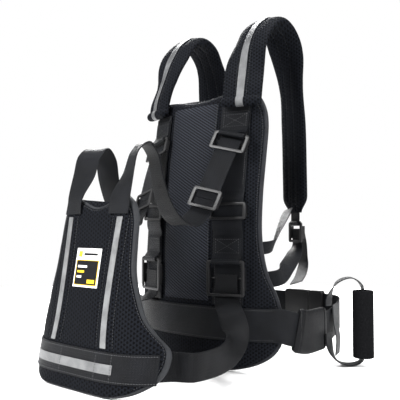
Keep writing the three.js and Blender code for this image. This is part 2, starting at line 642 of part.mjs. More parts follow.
// ---- adult shoulder straps --------------------------------------------------------------------
const LOCK_BAR_Z = 226;
const ladderFrame = adjusterFrame({ width: 37, height: 34, slot: SLOT, barSize: BAR_SIZE });
for (const [side, label] of [[-1, 'left'], [1, 'right']]) {
  const rootAcross = vec(0.95, 0.31, 0);
  const overTop = vec(1, 0, 0);
  const farAcross = vec(0.94, -0.34, 0);
  const root = (z) => onPanel(pad, SHOULDER_X, z, padFace + GAP + 8.2);
  const strap = [
    [root(411), rootAcross], [root(432), rootAcross], [vec(88, 34, 470), rootAcross],
    [vec(88, 48, 508), overTop], [vec(87, 70, 539), overTop], [vec(87, 98, 555), overTop],
    [vec(87, 126, 545), overTop], [vec(87, 147, 513), overTop], [vec(87, 159, 462), farAcross],
    [vec(88, 165, 390), farAcross], [vec(89, 166, 310), farAcross], [vec(90, 166, 244), farAcross],
  ];
  const shoulder = mirrorStops(strap, side);
  addPart(
    `shoulder_tape_${label}`,
    webbing(shoulder, 14, {
      steps: 22, thickness: 0.8, start: 0.07, end: 0.9, lift: -side * (SHOULDER_THICKNESS / 2 + 1.5),
    }),
    PALETTE.reflective,
  );
  const cuffAcross = mirrored(rootAcross, side).multiplyScalar(side);
  const cuffAt = onPanel(pad, side * SHOULDER_X, 414, padFace + GAP + 17.5);
  addPart(
    `shoulder_cuff_${label}`,
    place(box(68, 2.4, 12), cuffAt, cuffAcross, upPanel(pad, 414)),
    PALETTE.binding,
  );

  const lockBar = vec(side * 90, 166, LOCK_BAR_Z);
  const lockAcross = mirrored(farAcross, side).multiplyScalar(side);
  const tabTop = vec(side * 90, 166, 250);
  addPart(`shoulder_pad_${label}`, join(
    webbing(shoulder, SHOULDER_WIDTH, { steps: 22, thickness: 7, crown: (SHOULDER_THICKNESS - 7) / 2 }),
    webbing([
      [lockBar.clone().add(vec(0, 0, EYE_OUTER - 0.8)), lockAcross],
      [lockBar.clone().lerp(tabTop, 0.6), lockAcross],
      [tabTop, lockAcross],
    ], 24, { steps: 2 }),
    eye(lockBar, lockAcross, 24),
  ), PALETTE.mesh);
  const lockAt = hungMiddle(lockBar, lockAcross, upright, 34);
  addPart(`ladder_lock_${label}`, place(ladderFrame, lockAt, lockAcross, upright), PALETTE.plastic);

  const padSide = onPanel(pad, 122, 138, -padFace - 2);
  const inLock = (dz) => [mirrored(lockAt, side).add(vec(0, 0, dz)), farAcross];
  const lowerRun = [
    inLock(6), inLock(-8), inLock(-21),
    [vec(98, 150, 174), vec(0.93, 0.1, -0.25)], [vec(116, 104, 155), vec(0.64, 0.5, -0.55)],
    [vec(130, 66, 142), vec(0.15, 0.1, -1)], [padSide, vec(0, 0, -1)],
  ];
  addPart(
    `shoulder_webbing_${label}`,
    webbing(mirrorStops(lowerRun, side), NARROW_STRAP_WIDTH, { steps: 18 }),
    PALETTE.webbing,
  );
  const tail = [
    [vec(92, 177, 212), farAcross], [vec(93, 182, 190), farAcross], [vec(96, 180, 160), farAcross],
    [vec(103, 162, 140), vec(0.95, -0.1, 0.2)], [vec(110, 138, 128), vec(0.95, 0, 0.25)],
  ];
  addPart(
    `shoulder_tail_${label}`,
    webbing(mirrorStops(tail, side), NARROW_STRAP_WIDTH, { steps: 12 }),
    PALETTE.webbing,
  );
  const steady = [
    [vec(84, 155.5, 250), vec(0.95, -0.3, 0)], [vec(88, 140, 238), vec(0.95, -0.3, 0)],
    [vec(104, 96, 208), vec(0.7, 0, 0.7)], [vec(118, 62, 190), vec(0.3, 0, 0.95)],
    [onPanel(pad, 112, 186, -padFace - 3), vec(0, 0, 1)],
  ];
  addPart(
    `steady_strap_${label}`,
    webbing(mirrorStops(steady, side), 20, { steps: 14 }),
    PALETTE.webbing,
  );
}

// ---- the child's vest panel -------------------------------------------------------------------
const CHILD_INSET = BINDING + 2 * GAP;
const childFoam = CHILD_FOAM / 2;
addPart('child_foam_core', panelLayer(child, childFoam, -childFoam, CHILD_INSET), PALETTE.foam);
addPart('child_face_mesh', panelLayer(child, childFace, childFace - SKIN, CHILD_INSET), PALETTE.mesh);
addPart('child_lining', panelLayer(child, -childFace + SKIN, -childFace, CHILD_INSET), PALETTE.lining);
addPart('child_edge_binding', panelBinding(child, 2 * childFace, BINDING), PALETTE.binding);

// A flat trim sewn on the child panel: x runs between two functions of v, z between two numbers.
function panelTrim(left, right, [z0, z1], back, thickness, across, along) {
  const at = (offset) => (u, v) => onPanel(
    child, THREE.MathUtils.lerp(left(v), right(v), u), THREE.MathUtils.lerp(z0, z1, v), offset,
  );
  return slab(at(back + thickness), at(back), across, along);
}
const BAND_Z = [20, 58];
const bandBack = childFace + GAP + 0.2;
const bandEdge = 121;
const band = panelTrim(() => -bandEdge, () => bandEdge, BAND_Z, bandBack, 1.2, 16, 1);
addPart('child_band', band, PALETTE.webbing);
addPart(
  'child_band_tape',
  panelTrim(() => -100, () => 74, [31, 43], bandBack + 1.2 + GAP, 0.6, 14, 1),
  PALETTE.reflective,
);
for (const [side, label] of [[-1, 'left'], [1, 'right']]) {
  const centre = (v) => side * (50 + 5 * (1 - v) ** 6 + 4 * v ** 2);
  addPart(
    `child_stripe_${label}`,
    panelTrim((v) => centre(v) - 5, (v) => centre(v) + 5, [62, 234], bandBack + 0.6, 0.7, 1, 12),
    PALETTE.reflective,
  );
}
addPart('patch', panelTrim(() => -27, () => 27, [137, 190], bandBack + 0.3, 0.8, 4, 1), PALETTE.patch);

// The child's shoulder straps rise from the panel, turn over, hang in a U and climb to the pad.
for (const [side, label] of [[-1, 'left'], [1, 'right']]) {
  const front = (z) => [onPanel(child, 50, z, bandBack + 1.2), alongPanel(child, 50)];
  const level = vec(1, 0, 0);
  const turned = (inwards) => vec(1, -inwards, 0);
  const { across: glideAcross, up: glideUp } = linkWays.right;
  const glide = (t) => [TRI_GLIDE_AT.clone().addScaledVector(glideUp, t), glideAcross];
  const stops = [
    front(238), front(262), [vec(50, -172, 296), turned(0.36)], [vec(51, -162, 324), turned(0.45)],
    [vec(52, -145, 336), turned(0.42)], [vec(53, -130, 322), turned(0.34)],
    [vec(54, -122, 290), turned(0.28)], [vec(55, -109, 254), turned(0.14)], [vec(56, -92, 232), level], [vec(58, -73, 223), level],
    [vec(60.5, -61, 227.5), glideAcross], glide(-22), glide(-8), glide(0),
  ];
  addPart(
    `child_strap_${label}`,
    webbing(mirrorStops(stops, side), CHILD_STRAP_WIDTH, { steps: 36, end: 0.998 }),
    PALETTE.webbing,
  );
  const way = linkWays[label];
  const linkEnd = way.at.clone().addScaledVector(way.up, 5);
  const glideAt = mirrored(TRI_GLIDE_AT, side);
  addPart(
    `strap_link_${label}`,
    webbing([
      [glideAt.clone().addScaledVector(way.up, 0.5), way.across],
      [glideAt.clone().lerp(linkEnd, 0.5), way.across],
      [linkEnd, way.across],
    ], CHILD_STRAP_WIDTH, { steps: 3 }),
    PALETTE.webbing,
  );
  addPart(`tri_glide_${label}`, place(triGlide, glideAt, way.across, way.up), PALETTE.plastic);

  const wing = (x) => [onPanel(child, x, 39, -childFace - 3), upPanel(child, 39)];
  const { at: lowerAt, across: lowerAcross } = lowerWays.right;
  const away = lowerAcross.clone().negate();
  const inSlider = (rise) => [lowerAt.clone().addScaledVector(lowerUp, rise), away];
  const belt = [
    wing(100), wing(118), wing(134), [vec(148, -146, 39), upright], [vec(152, -118, 40), upright],
    [vec(150, -88, 43), vec(-0.1, 0.1, 1)], [vec(143, -60, 52), vec(-0.4, 0.25, 0.9)],
    [vec(130, -38, 68), vec(-0.75, 0.1, 0.65)], [vec(108, -24, 92), vec(-0.95, -0.15, 0.3)],
    inSlider(-31), inSlider(-14), inSlider(6),
  ];
  addPart(
    `child_belt_${label}`,
    webbing(mirrorStops(belt, side), CHILD_STRAP_WIDTH, { steps: 28 }),
    PALETTE.webbing,
  );
}

export default assembly;
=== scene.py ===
# %% [markdown]
# # A child safety harness vest
# Two padded panels face each other. The adult wears the tall one on the back, with two padded shoulder
# straps and a waist belt. The child sits between the panels and wears the small one on the chest.
# Webbing straps tie the panels together through plastic adjusters, so the child cannot slip away.
# The CAD gives every piece its place. Here each piece gets the look of its real material.

# %% Load the frame
import json
import math

import bmesh
import bpy
import numpy as np
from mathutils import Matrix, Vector


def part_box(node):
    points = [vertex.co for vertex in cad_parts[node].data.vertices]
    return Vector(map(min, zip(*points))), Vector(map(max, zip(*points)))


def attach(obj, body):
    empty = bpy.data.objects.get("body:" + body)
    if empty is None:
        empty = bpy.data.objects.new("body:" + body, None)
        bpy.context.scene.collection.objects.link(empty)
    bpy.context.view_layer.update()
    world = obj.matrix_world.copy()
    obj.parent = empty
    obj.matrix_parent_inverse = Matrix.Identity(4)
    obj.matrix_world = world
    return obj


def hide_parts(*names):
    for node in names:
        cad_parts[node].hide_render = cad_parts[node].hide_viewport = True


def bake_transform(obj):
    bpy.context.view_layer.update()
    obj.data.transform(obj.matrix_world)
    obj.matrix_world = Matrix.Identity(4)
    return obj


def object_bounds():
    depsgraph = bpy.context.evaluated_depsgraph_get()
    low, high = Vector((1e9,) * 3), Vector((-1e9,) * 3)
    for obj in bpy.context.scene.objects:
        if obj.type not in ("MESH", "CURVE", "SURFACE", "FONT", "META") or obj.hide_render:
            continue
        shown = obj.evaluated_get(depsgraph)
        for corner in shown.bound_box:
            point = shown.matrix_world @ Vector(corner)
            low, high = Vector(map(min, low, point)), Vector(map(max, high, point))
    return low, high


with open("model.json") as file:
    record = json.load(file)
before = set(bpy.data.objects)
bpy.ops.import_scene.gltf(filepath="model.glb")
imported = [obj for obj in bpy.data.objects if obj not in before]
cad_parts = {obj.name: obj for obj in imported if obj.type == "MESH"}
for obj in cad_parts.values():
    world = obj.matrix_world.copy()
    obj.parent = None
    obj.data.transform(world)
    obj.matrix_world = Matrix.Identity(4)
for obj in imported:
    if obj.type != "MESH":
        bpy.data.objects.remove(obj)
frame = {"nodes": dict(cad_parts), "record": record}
CAD_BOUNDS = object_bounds()
BODY_OF = {node: body for body, nodes in frame["record"]["behaviour"]["bodies"].items() for node in nodes}
SIDES = [(-1, "left"), (1, "right")]

# %% [markdown]
# ## Camera, floor and light
# The camera stands low, at about half the harness's height, and looks at its front from the right.
# Black cloth only shows its shape where it mirrors something bright, so the lights are large and soft:
# one wide key from the front, one fill from the other side and one behind for the rims.

# %% Camera
scene = bpy.context.scene
camera = bpy.data.objects.new("camera", bpy.data.cameras.new("camera"))
scene.collection.objects.link(camera)
camera.data.lens = 59
camera.data.sensor_width = 36
camera.data.clip_start = 0.05
camera.location = (0.735, -0.760, 0.219)
turn, tilt = math.radians(43.13), math.radians(2.4)
look = Vector((-math.sin(turn), math.cos(turn), math.tan(tilt)))
camera.rotation_euler = look.to_track_quat("-Z", "Y").to_euler()
scene.camera = camera
scene.view_settings.view_transform = "Standard"
print("camera", tuple(round(v, 3) for v in camera.location))

# %% Floor and light
def plain_material(name, color, roughness):
    material = bpy.data.materials.new(name)
    material.use_nodes = True
    principled = material.node_tree.nodes["Principled BSDF"]
    principled.inputs["Base Color"].default_value = (*color, 1)
    principled.inputs["Roughness"].default_value = roughness
    return material


def area_light(name, place, target, size, power):
    light = bpy.data.objects.new(name, bpy.data.lights.new(name, "AREA"))
    light.data.shape = "DISK"
    light.data.size = size
    light.data.energy = power
    light.location = place
    light.rotation_euler = (Vector(target) - Vector(place)).to_track_quat("-Z", "Y").to_euler()
    scene.collection.objects.link(light)
    return light


bpy.ops.mesh.primitive_circle_add(vertices=96, radius=1.5, fill_type="NGON",
                                  location=(0, 0, CAD_BOUNDS[0][2] - 0.0004))
floor = bpy.context.object
floor.name = "floor"
floor.data.materials.append(plain_material("pale_floor", (0.93, 0.93, 0.93), 0.7))
middle = (0, 0, 0.25)
lights = [
    area_light("key", (-0.5, -1.9, 1.6), middle, 1.1, 110),
    area_light("fill", (2.2, -0.2, 1.1), middle, 0.9, 52),
    area_light("rim", (-1.4, 1.3, 1.6), middle, 1.2, 80),
    area_light("top", (0.5, 0.3, 2.2), middle, 0.9, 60),
]
world = bpy.data.worlds.new("studio")
world.use_nodes = True
world.node_tree.nodes["Background"].inputs["Color"].default_value = (1, 1, 1, 1)
seen = world.node_tree.nodes.new("ShaderNodeLightPath")
strength = world.node_tree.nodes.new("ShaderNodeMapRange")
strength.inputs["To Min"].default_value = 0.7
strength.inputs["To Max"].default_value = 1.0
world.node_tree.links.new(seen.outputs["Is Camera Ray"], strength.inputs["Value"])
world.node_tree.links.new(strength.outputs["Result"], world.node_tree.nodes["Background"].inputs["Strength"])
scene.world = world
print(len(lights), "lights")

# %% [markdown]
# ## Shader tools
# Cloth patterns are sums and products of waves. Number lets a pattern be written as plain arithmetic, and
# Shader.add makes every other node, with its settings and its socket values or links.

# %% Number and Shader
class Number:
    def __init__(self, shader, socket):
        self.shader = shader
        self.socket = socket

    def math(self, operation, *others):
        return self.shader.add("ShaderNodeMath", {"operation": operation}, [self, *others])

    def __add__(self, other):
        return self.math("ADD", other)

    def __sub__(self, other):
        return self.math("SUBTRACT", other)

    def __rsub__(self, other):
        return (self * -1) + other

    def __mul__(self, other):
        return self.math("MULTIPLY", other)

    __radd__ = __add__
    __rmul__ = __mul__

    def wave(self, pitch):
        return (self * (2 * math.pi / pitch)).math("SINE")

    def ramp(self, low, high):
        settings = {"interpolation_type": "SMOOTHSTEP"}
        limits = {"Value": self, "From Min": low, "From Max": high}
        return self.shader.add("ShaderNodeMapRange", settings, limits)


class Shader:
    def __init__(self, name, roughness=0.8, **constants):
        self.material = bpy.data.materials.new(name)
        self.material.use_nodes = True
        self.tree = self.material.node_tree
        self.surface = self.tree.nodes["Principled BSDF"]
        self.surface.inputs["Roughness"].default_value = roughness
        for socket, value in constants.items():
            self.surface.inputs[socket.replace("_", " ")].default_value = value

    def add(self, kind, settings=None, values=None, output=0):
        node = self.tree.nodes.new(kind)
        for key, value in (settings or {}).items():
            setattr(node, key, value)
        pairs = values.items() if isinstance(values, dict) else enumerate(values or [])
        for key, value in pairs:
            self.put(node.inputs[key], value)
        return Number(self, node.outputs[output])

    def put(self, socket, value):
        if isinstance(value, Number):
            self.tree.links.new(value.socket, socket)
        elif isinstance(value, tuple) and len(value) == 3 and socket.type == "RGBA":
            socket.default_value = (*value, 1)
        else:
            socket.default_value = value

    def split(self, vector):
        parts = self.add("ShaderNodeSeparateXYZ", None, [vector])
        return [Number(self, parts.socket.node.outputs[i]) for i in range(3)]

    def place(self):
        return self.add("ShaderNodeTexCoord", output="Object")

    def cloth(self):
        return self.split(self.add("ShaderNodeUVMap", {"uv_map": "cloth"}))

    def noise(self, scale, detail=2.0):
        values = {"Vector": self.place(), "Scale": scale, "Detail": detail}
        return self.add("ShaderNodeTexNoise", None, values)

    def mix(self, amount, low, high):
        return self.add(
            "ShaderNodeMix", {"data_type": "RGBA"}, {0: amount, 6: low, 7: high}, output=2,
        )

    def finish(self, color=None, height=None, depth=0.0002, roughness=None):
        if color is not None:
            self.put(self.surface.inputs["Base Color"], color)
        if roughness is not None:
            self.put(self.surface.inputs["Roughness"], roughness)
        if height is not None:
            bump = self.add("ShaderNodeBump", None, {"Height": height, "Distance": depth, "Strength": 1.0})
            self.put(self.surface.inputs["Normal"], bump)
        return self.material


# %% [markdown]
# ## Materials
# Webbing is polyester woven into a flat band: fine ribs run across it, and a tighter edge keeps it from
# fraying. Spacer mesh is a knitted cloth with a honeycomb of holes that lets sweat out. The hardware is
# moulded acetal with a satin, spark-eroded surface. Reflective tape holds tiny glass beads.

# %% Webbing and bindings
def webbing_material(name, low, high, pitch=0.0016, depth=0.00035, sheen=0.0):
    shader = Shader(name, 0.45, Sheen_Weight=sheen, Specular_IOR_Level=0.09)
    across, along, _ = shader.cloth()
    column = across.wave(0.0042)
    ribs = (along + column * 0.00045).wave(pitch)
    grain = ribs * 0.5 + (across.wave(0.0021) * along.wave(pitch * 2)) * 0.35
    wear = shader.noise(38.0, 3.0)
    # ribs * 0.3 paints highlights on the rib crests and shade in the grooves into the colour; wear is a
    # random tone of the cloth.
    relief_shading_and_wear = ribs * 0.3 + wear * 0.9 - 0.1
    color = shader.mix(relief_shading_and_wear.ramp(0.0, 1.0), low, high)
    return shader.finish(color, grain, depth)


MATERIALS = {
    "webbing": webbing_material("black_webbing", (0.0008, 0.0010, 0.0014), (0.0074, 0.0083, 0.0110)),
    "webbing_soft": webbing_material(
        "soft_webbing", (0.0008, 0.0009, 0.0012), (0.0055, 0.0060, 0.0076), 0.0019),
    "binding": webbing_material(
        "binding_tape", (0.006, 0.0064, 0.008), (0.021, 0.0222, 0.026), 0.0011, 0.0002),
    "piping": webbing_material("grey_piping", (0.012, 0.0126, 0.014), (0.036, 0.038, 0.042), 0.0011, 0.0002),
}
print(sorted(MATERIALS))

# %% Spacer mesh and lining
def mesh_material(name, low, high, cell, depth, slant=0.0, gloss=0.04):
    """Three waves at 60 degrees make round holes in a honeycomb; slant turns them into slanted ribs."""
    shader = Shader(name, 0.7, Specular_IOR_Level=gloss)
    x, y, z = shader.split(shader.place())
    side = x + y * 0.6
    level = side.wave(cell)
    rising = (side * 0.5 + z * 0.866).wave(cell)
    falling = (side * 0.5 - z * 0.866).wave(cell)
    open_cell = ((level + falling) * (0.4 * (1 - slant)) + rising * (0.4 + 0.6 * slant)).ramp(-0.2, 0.6)
    knit = shader.noise(900.0, 1.0)
    height = 1 - open_cell * 0.8 + knit * 0.25
    wear = shader.noise(9.0, 3.0)
    # The holes are real and sunk into the bump; their dark colour is painted shade inside them. wear is a
    # random tone of the cloth.
    relief_shading_and_wear = (1 - open_cell) * 0.75 + wear * 0.35 - 0.05
    color = shader.mix(relief_shading_and_wear.ramp(0.0, 1.0), low, high)
    return shader.finish(color, height, depth)


def lining_material():
    shader = Shader("woven_lining", 0.8, Specular_IOR_Level=0.04)
    x, y, z = shader.split(shader.place())
    side = x + y * 0.6
    weave = side.wave(0.0014) * z.wave(0.0014)
    color = shader.mix(shader.noise(14.0, 3.0), (0.0032, 0.0034, 0.0042), (0.0105, 0.0112, 0.0138))
    return shader.finish(color, weave, 0.0002)


# The low colours are the painted shade in the holes, the high colours the knit itself.
MATERIALS["spacer_mesh"] = mesh_material(
    "spacer_mesh", (0.0003, 0.0003, 0.0004), (0.0050, 0.0058, 0.0080), 0.0050, 0.0010)
MATERIALS["rib_mesh"] = mesh_material(
    "ribbed_spacer_mesh", (0.0006, 0.0007, 0.0009), (0.0150, 0.0170, 0.0230), 0.0042, 0.0010, 0.6, 0.08)
MATERIALS["lining"] = lining_material()

# %% Plastic, reflective tape, foam and patch cloth
def plastic_material():
    shader = Shader("satin_plastic", 0.4, Specular_IOR_Level=0.3)
    grain = shader.noise(1500.0, 1.0)
    haze = shader.noise(30.0, 3.0)
    color = shader.mix(haze, (0.0025, 0.0025, 0.003), (0.006, 0.006, 0.0065))
    return shader.finish(color, grain, 0.00006, haze * 0.2 + 0.3)


def reflective_material(name, low, high):
    shader = Shader(name, 0.38, Metallic=0.25)
    across, along, _ = shader.cloth()
    weave = across.wave(0.0012) * along.wave(0.0012)
    wear = shader.noise(60.0, 4.0)
    color = shader.mix(wear.ramp(0.25, 0.75), low, high)
    return shader.finish(color, weave, 0.00008, wear * 0.25 + 0.3)


def foam_material():
    shader = Shader("grip_foam", 0.92, Specular_IOR_Level=0.02)
    grain = shader.noise(420.0, 4.0)
    color = shader.mix(grain, (0.0010, 0.0010, 0.0012), (0.0075, 0.0076, 0.0084))
    return shader.finish(color, grain, 0.0012)


def woven_color(name, color):
    shader = Shader(name, 0.7, Specular_IOR_Level=0.1)
    across, along, _ = shader.cloth()
    weave = across.wave(0.0009) * along.wave(0.0009)
    # The weave's dips are a fifth darker than its crests: painted shade that follows the bump, over the
    # patch's own colour.
    weave_shade_color = tuple(c * 0.8 for c in color)
    return shader.finish(shader.mix(weave.ramp(-1.0, 1.0), weave_shade_color, color), weave, 0.0001)


MATERIALS["plastic"] = plastic_material()
MATERIALS["reflective"] = reflective_material("reflective_tape", (0.085, 0.087, 0.089), (0.155, 0.158, 0.160))
MATERIALS["shoulder_tape"] = reflective_material(
    "shoulder_tape", (0.045, 0.046, 0.048), (0.085, 0.087, 0.090))
MATERIALS["grip_foam"] = foam_material()
MATERIALS["patch_white"] = woven_color("patch_white", (0.86, 0.86, 0.84))
MATERIALS["patch_black"] = woven_color("patch_black", (0.004, 0.004, 0.005))
MATERIALS["patch_yellow"] = woven_color("patch_yellow", (0.85, 0.55, 0.03))
MATERIALS["thread"] = Shader("thread", 0.6, Base_Color=(0.010, 0.0105, 0.012, 1)).material
MATERIALS["grey_thread"] = Shader("grey_thread", 0.6, Base_Color=(0.032, 0.033, 0.036, 1)).material
print(len(MATERIALS), "materials")

# %% [markdown]
# ## Shape tools
# Every sewn piece is a sheet or band with a thickness, so one loft makes them all. It stores each face
# corner's distance across and along the piece, in metres, and the weaves follow that map.

# %% Small helpers
def mm(*values):
    return Vector(values) * 0.001


def smooth(low, high, t):
    t = min(max((t - low) / (high - low), 0.0), 1.0)
    return t * t * (3 - 2 * t)


def mirror(point, side):
    return Vector((point[0] * side, point[1], point[2]))


def dress(obj, nodes, material, blend=None, body=None):
    obj.data.materials.clear()
    obj.data.materials.append(MATERIALS[material])
    nodes = [nodes] if isinstance(nodes, str) else nodes
    if blend:
        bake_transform(obj)
    else:
        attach(obj, body or BODY_OF[nodes[0]])
    if nodes:
        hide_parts(*nodes)
    return obj


# %% Loft
def loft(name, rings, across, along, closed=False, sharp=40):
    """A body through rings of points. across and along are the cloth distances round and down it."""
    count = len(rings[0])
    vertices = [p for ring in rings for p in ring]
    faces = []
    corners = []
    rows = len(rings) if closed else len(rings) - 1
    for s in range(rows):
        here = s * count
        after = ((s + 1) % len(rings)) * count
        for i in range(count):
            j = (i + 1) % count
            faces.append((here + i, here + j, after + j, after + i))
            corners += [(across[i], along[s]), (across[i + 1], along[s]),
                        (across[i + 1], along[s + 1]), (across[i], along[s + 1])]
    if not closed:
        for start, row in ((0, 0), ((len(rings) - 1) * count, -1)):
            faces.append(tuple(range(start, start + count)))
            corners += [(across[i], along[row]) for i in range(count)]
    mesh = bpy.data.meshes.new(name)
    mesh.from_pydata(vertices, [], faces)
    layer = mesh.uv_layers.new(name="cloth")
    layer.data.foreach_set("uv", np.array(corners, float).ravel())
    return settle(name, mesh, sharp)


def settle(name, mesh, sharp=40):
    """Turns the faces outwards, shades them and puts the mesh in the scene."""
    edit = bmesh.new()
    edit.from_mesh(mesh)
    bmesh.ops.recalc_face_normals(edit, faces=edit.faces)
    if edit.calc_volume(signed=True) < 0:
        bmesh.ops.reverse_faces(edit, faces=edit.faces)
    edit.to_mesh(mesh)
    edit.free()
    mesh.polygons.foreach_set("use_smooth", [True] * len(mesh.polygons))
    mesh.set_sharp_from_angle(angle=math.radians(sharp))
    obj = bpy.data.objects.new(name, mesh)
    scene.collection.objects.link(obj)
    return obj


def running(points):
    """Distance travelled along a row of points."""
    steps = [0.0]
    for a, b in zip(points, points[1:]):
        steps.append(steps[-1] + (b - a).length)
    return steps


# %% Route
class Route:
    """A smooth path through given stops, each a point and the direction across the strap."""

    def __init__(self, stops):
        self.points = [p for p, _ in stops]
        self.turns = [a.normalized() for _, a in stops]

    @staticmethod
    def blend(points, t):
        place = min(max(t, 0.0), 1.0) * (len(points) - 1)
        i = min(int(place), len(points) - 2)
        w = place - i
        p1, p2 = points[i], points[i + 1]
        p0 = points[i - 1] if i > 0 else p1 * 2 - p2
        p3 = points[i + 2] if i + 2 < len(points) else p2 * 2 - p1
        spans = [max((b - a).length ** 0.5, 0.0) for a, b in ((p0, p1), (p1, p2), (p2, p3))]
        mid = spans[1] if spans[1] > 1e-5 else 1.0
        before = spans[0] if spans[0] > 1e-5 else mid
        after = spans[2] if spans[2] > 1e-5 else mid
        m1 = ((p1 - p0) / before - (p2 - p0) / (before + mid) + (p2 - p1) / mid) * mid
        m2 = ((p2 - p1) / mid - (p3 - p1) / (mid + after) + (p3 - p2) / after) * mid
        return (p1 + m1 * w + (p1 * -3 + p2 * 3 - m1 * 2 - m2) * w * w
                + (p1 * 2 - p2 * 2 + m1 + m2) * w ** 3)

    def at(self, t):
        middle = self.blend(self.points, t)
        low, high = max(t - 1e-3, 0), min(t + 1e-3, 1)
        tangent = (self.blend(self.points, high) - self.blend(self.points, low)).normalized()
        across = self.blend(self.turns, t)
        across = (across - tangent * across.dot(tangent)).normalized()
        return middle, tangent, across, tangent.cross(across)

    def length(self):
        return running([self.blend(self.points, i / 200) for i in range(201)])[-1]


def band_section(width, thickness, columns=8):
    """Half the outline of a strap's section, as (across, out) from one edge to the other."""
    half = width / 2
    round_off = min(thickness / 2, half)
    rows = []
    for k in range(3):
        angle = math.pi / 2 * k / 3
        rows.append((-half + round_off * (1 - math.cos(angle)), thickness / 2 * math.sin(angle)))
    inner = half - round_off
    for i in range(columns + 1):
        x = -inner + 2 * inner * i / columns
        rows.append((x, thickness / 2))
    rows += [(-x, y) for x, y in reversed(rows[:3])]
    return rows


def strap(name, stops, width, thickness=0.0016, start=0.0, end=1.0, lift=0.0, shape=None, step=0.003,
          narrow=0.0):
    """Flat webbing with rounded edges along a route. narrow rounds off its far end by that share."""
    route = Route(stops)
    upper = shape or band_section(width, thickness)
    outline = upper + [(x, -y) for x, y in reversed(upper[1:-1])]
    count = max(int(route.length() * (end - start) / step), 3)
    rings = []
    centres = []
    for s in range(count + 1):
        middle, _, across, out = route.at(start + (end - start) * s / count)
        size = 1 - narrow * smooth(0.955, 1.0, s / count) ** 2
        rings.append([middle + across * x * size + out * (y * size ** 2 + lift) for x, y in outline])
        centres.append(middle)
    marks = [Vector((x, y, 0)) for x, y in outline] + [Vector((*outline[0], 0))]
    return loft(name, rings, running(marks), running(centres))


def mirrored_stops(stops, side):
    return [(mirror(p, side), mirror(a, side)) for p, a in stops]


# %% [markdown]
# ## Stitches
# Each seam is a row of short thread stitches sunk a little into the cloth. A seam is drawn as a line,
# and one Geometry Nodes tree sets a stitch at every few millimetres along all the lines of a body.

# %% Stitch tree
SEAMS = {}


def seam(body, points, color="thread"):
    SEAMS.setdefault((body, color), []).append([Vector(p) for p in points])


def stitch_tree():
    tree = bpy.data.node_groups.new("stitches", "GeometryNodeTree")
    face = tree.interface
    face.new_socket("Geometry", in_out="INPUT", socket_type="NodeSocketGeometry")
    for name, value in (("Pitch", 0.0036), ("Stitch Length", 0.0026), ("Thread Radius", 0.00042)):
        face.new_socket(name, in_out="INPUT", socket_type="NodeSocketFloat").default_value = value
    face.new_socket("Thread", in_out="INPUT", socket_type="NodeSocketMaterial")
    face.new_socket("Geometry", in_out="OUTPUT", socket_type="NodeSocketGeometry")
    new = tree.nodes.new
    given, result = new("NodeGroupInput"), new("NodeGroupOutput")
    curve, points = new("GeometryNodeMeshToCurve"), new("GeometryNodeCurveToPoints")
    points.mode = "LENGTH"
    thread = new("GeometryNodeMeshUVSphere")
    thread.inputs["Segments"].default_value = 6
    thread.inputs["Rings"].default_value = 4
    thread.inputs["Radius"].default_value = 1.0
    size, half = new("ShaderNodeCombineXYZ"), new("ShaderNodeMath")
    half.operation = "MULTIPLY"
    half.inputs[1].default_value = 0.5
    instance, real, paint = (new("GeometryNodeInstanceOnPoints"), new("GeometryNodeRealizeInstances"),
                             new("GeometryNodeSetMaterial"))
    link = tree.links.new
    link(given.outputs["Geometry"], curve.inputs["Mesh"])
    link(curve.outputs["Curve"], points.inputs["Curve"])
    link(given.outputs["Pitch"], points.inputs["Length"])
    link(given.outputs["Stitch Length"], half.inputs[0])
    link(given.outputs["Thread Radius"], size.inputs["X"])
    link(given.outputs["Thread Radius"], size.inputs["Y"])
    link(half.outputs[0], size.inputs["Z"])
    link(points.outputs["Points"], instance.inputs["Points"])
    link(points.outputs["Rotation"], instance.inputs["Rotation"])
    link(thread.outputs["Mesh"], instance.inputs["Instance"])
    link(size.outputs[0], instance.inputs["Scale"])
    link(instance.outputs["Instances"], real.inputs["Geometry"])
    link(real.outputs["Geometry"], paint.inputs["Geometry"])
    link(given.outputs["Thread"], paint.inputs["Material"])
    link(paint.outputs["Geometry"], result.inputs["Geometry"])
    return tree


def grown(name, mesh, tree, **inputs):
    """The mesh that a Geometry Nodes tree makes from a guide mesh, as a plain object."""
    guide = bpy.data.objects.new(name + "_guide", mesh)
    scene.collection.objects.link(guide)
    modifier = guide.modifiers.new("grow", "NODES")
    modifier.node_group = tree
    for item in tree.interface.items_tree:
        if item.in_out == "INPUT" and item.name in inputs:
            modifier[item.identifier] = inputs[item.name]
    made = bpy.data.meshes.new_from_object(guide.evaluated_get(bpy.context.evaluated_depsgraph_get()))
    bpy.data.objects.remove(guide)
    obj = bpy.data.objects.new(name, made)
    made.name = name
    scene.collection.objects.link(obj)
    return obj


def sew_all():
    tree = stitch_tree()
    for (body, color), lines in SEAMS.items():
        points = []
        edges = []
        for line in lines:
            first = len(points)
            edges += [(first + i, first + i + 1) for i in range(len(line) - 1)]
            points += line
        guide = bpy.data.meshes.new("seam_lines")
        guide.from_pydata(points, edges, [])
        obj = grown(f"stitches_{color}_{body}", guide, tree, Thread=MATERIALS[color])
        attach(obj, body)
        print(obj.name, len(obj.data.polygons), "faces")


def seam_on_strap(body, stops, width, start, end):
    """Two rows of stitches down a strap, a little in from its edges, on both faces."""
    inset, half_thickness, steps = 0.003, 0.0008, 24
    route = Route(stops)
    for face in (half_thickness, -half_thickness):
        for side in (-1, 1):
            line = []
            for k in range(steps + 1):
                middle, _, across, out = route.at(start + (end - start) * k / steps)
                line.append(middle + across * side * (width / 2 - inset) + out * face)
            seam(body, line)


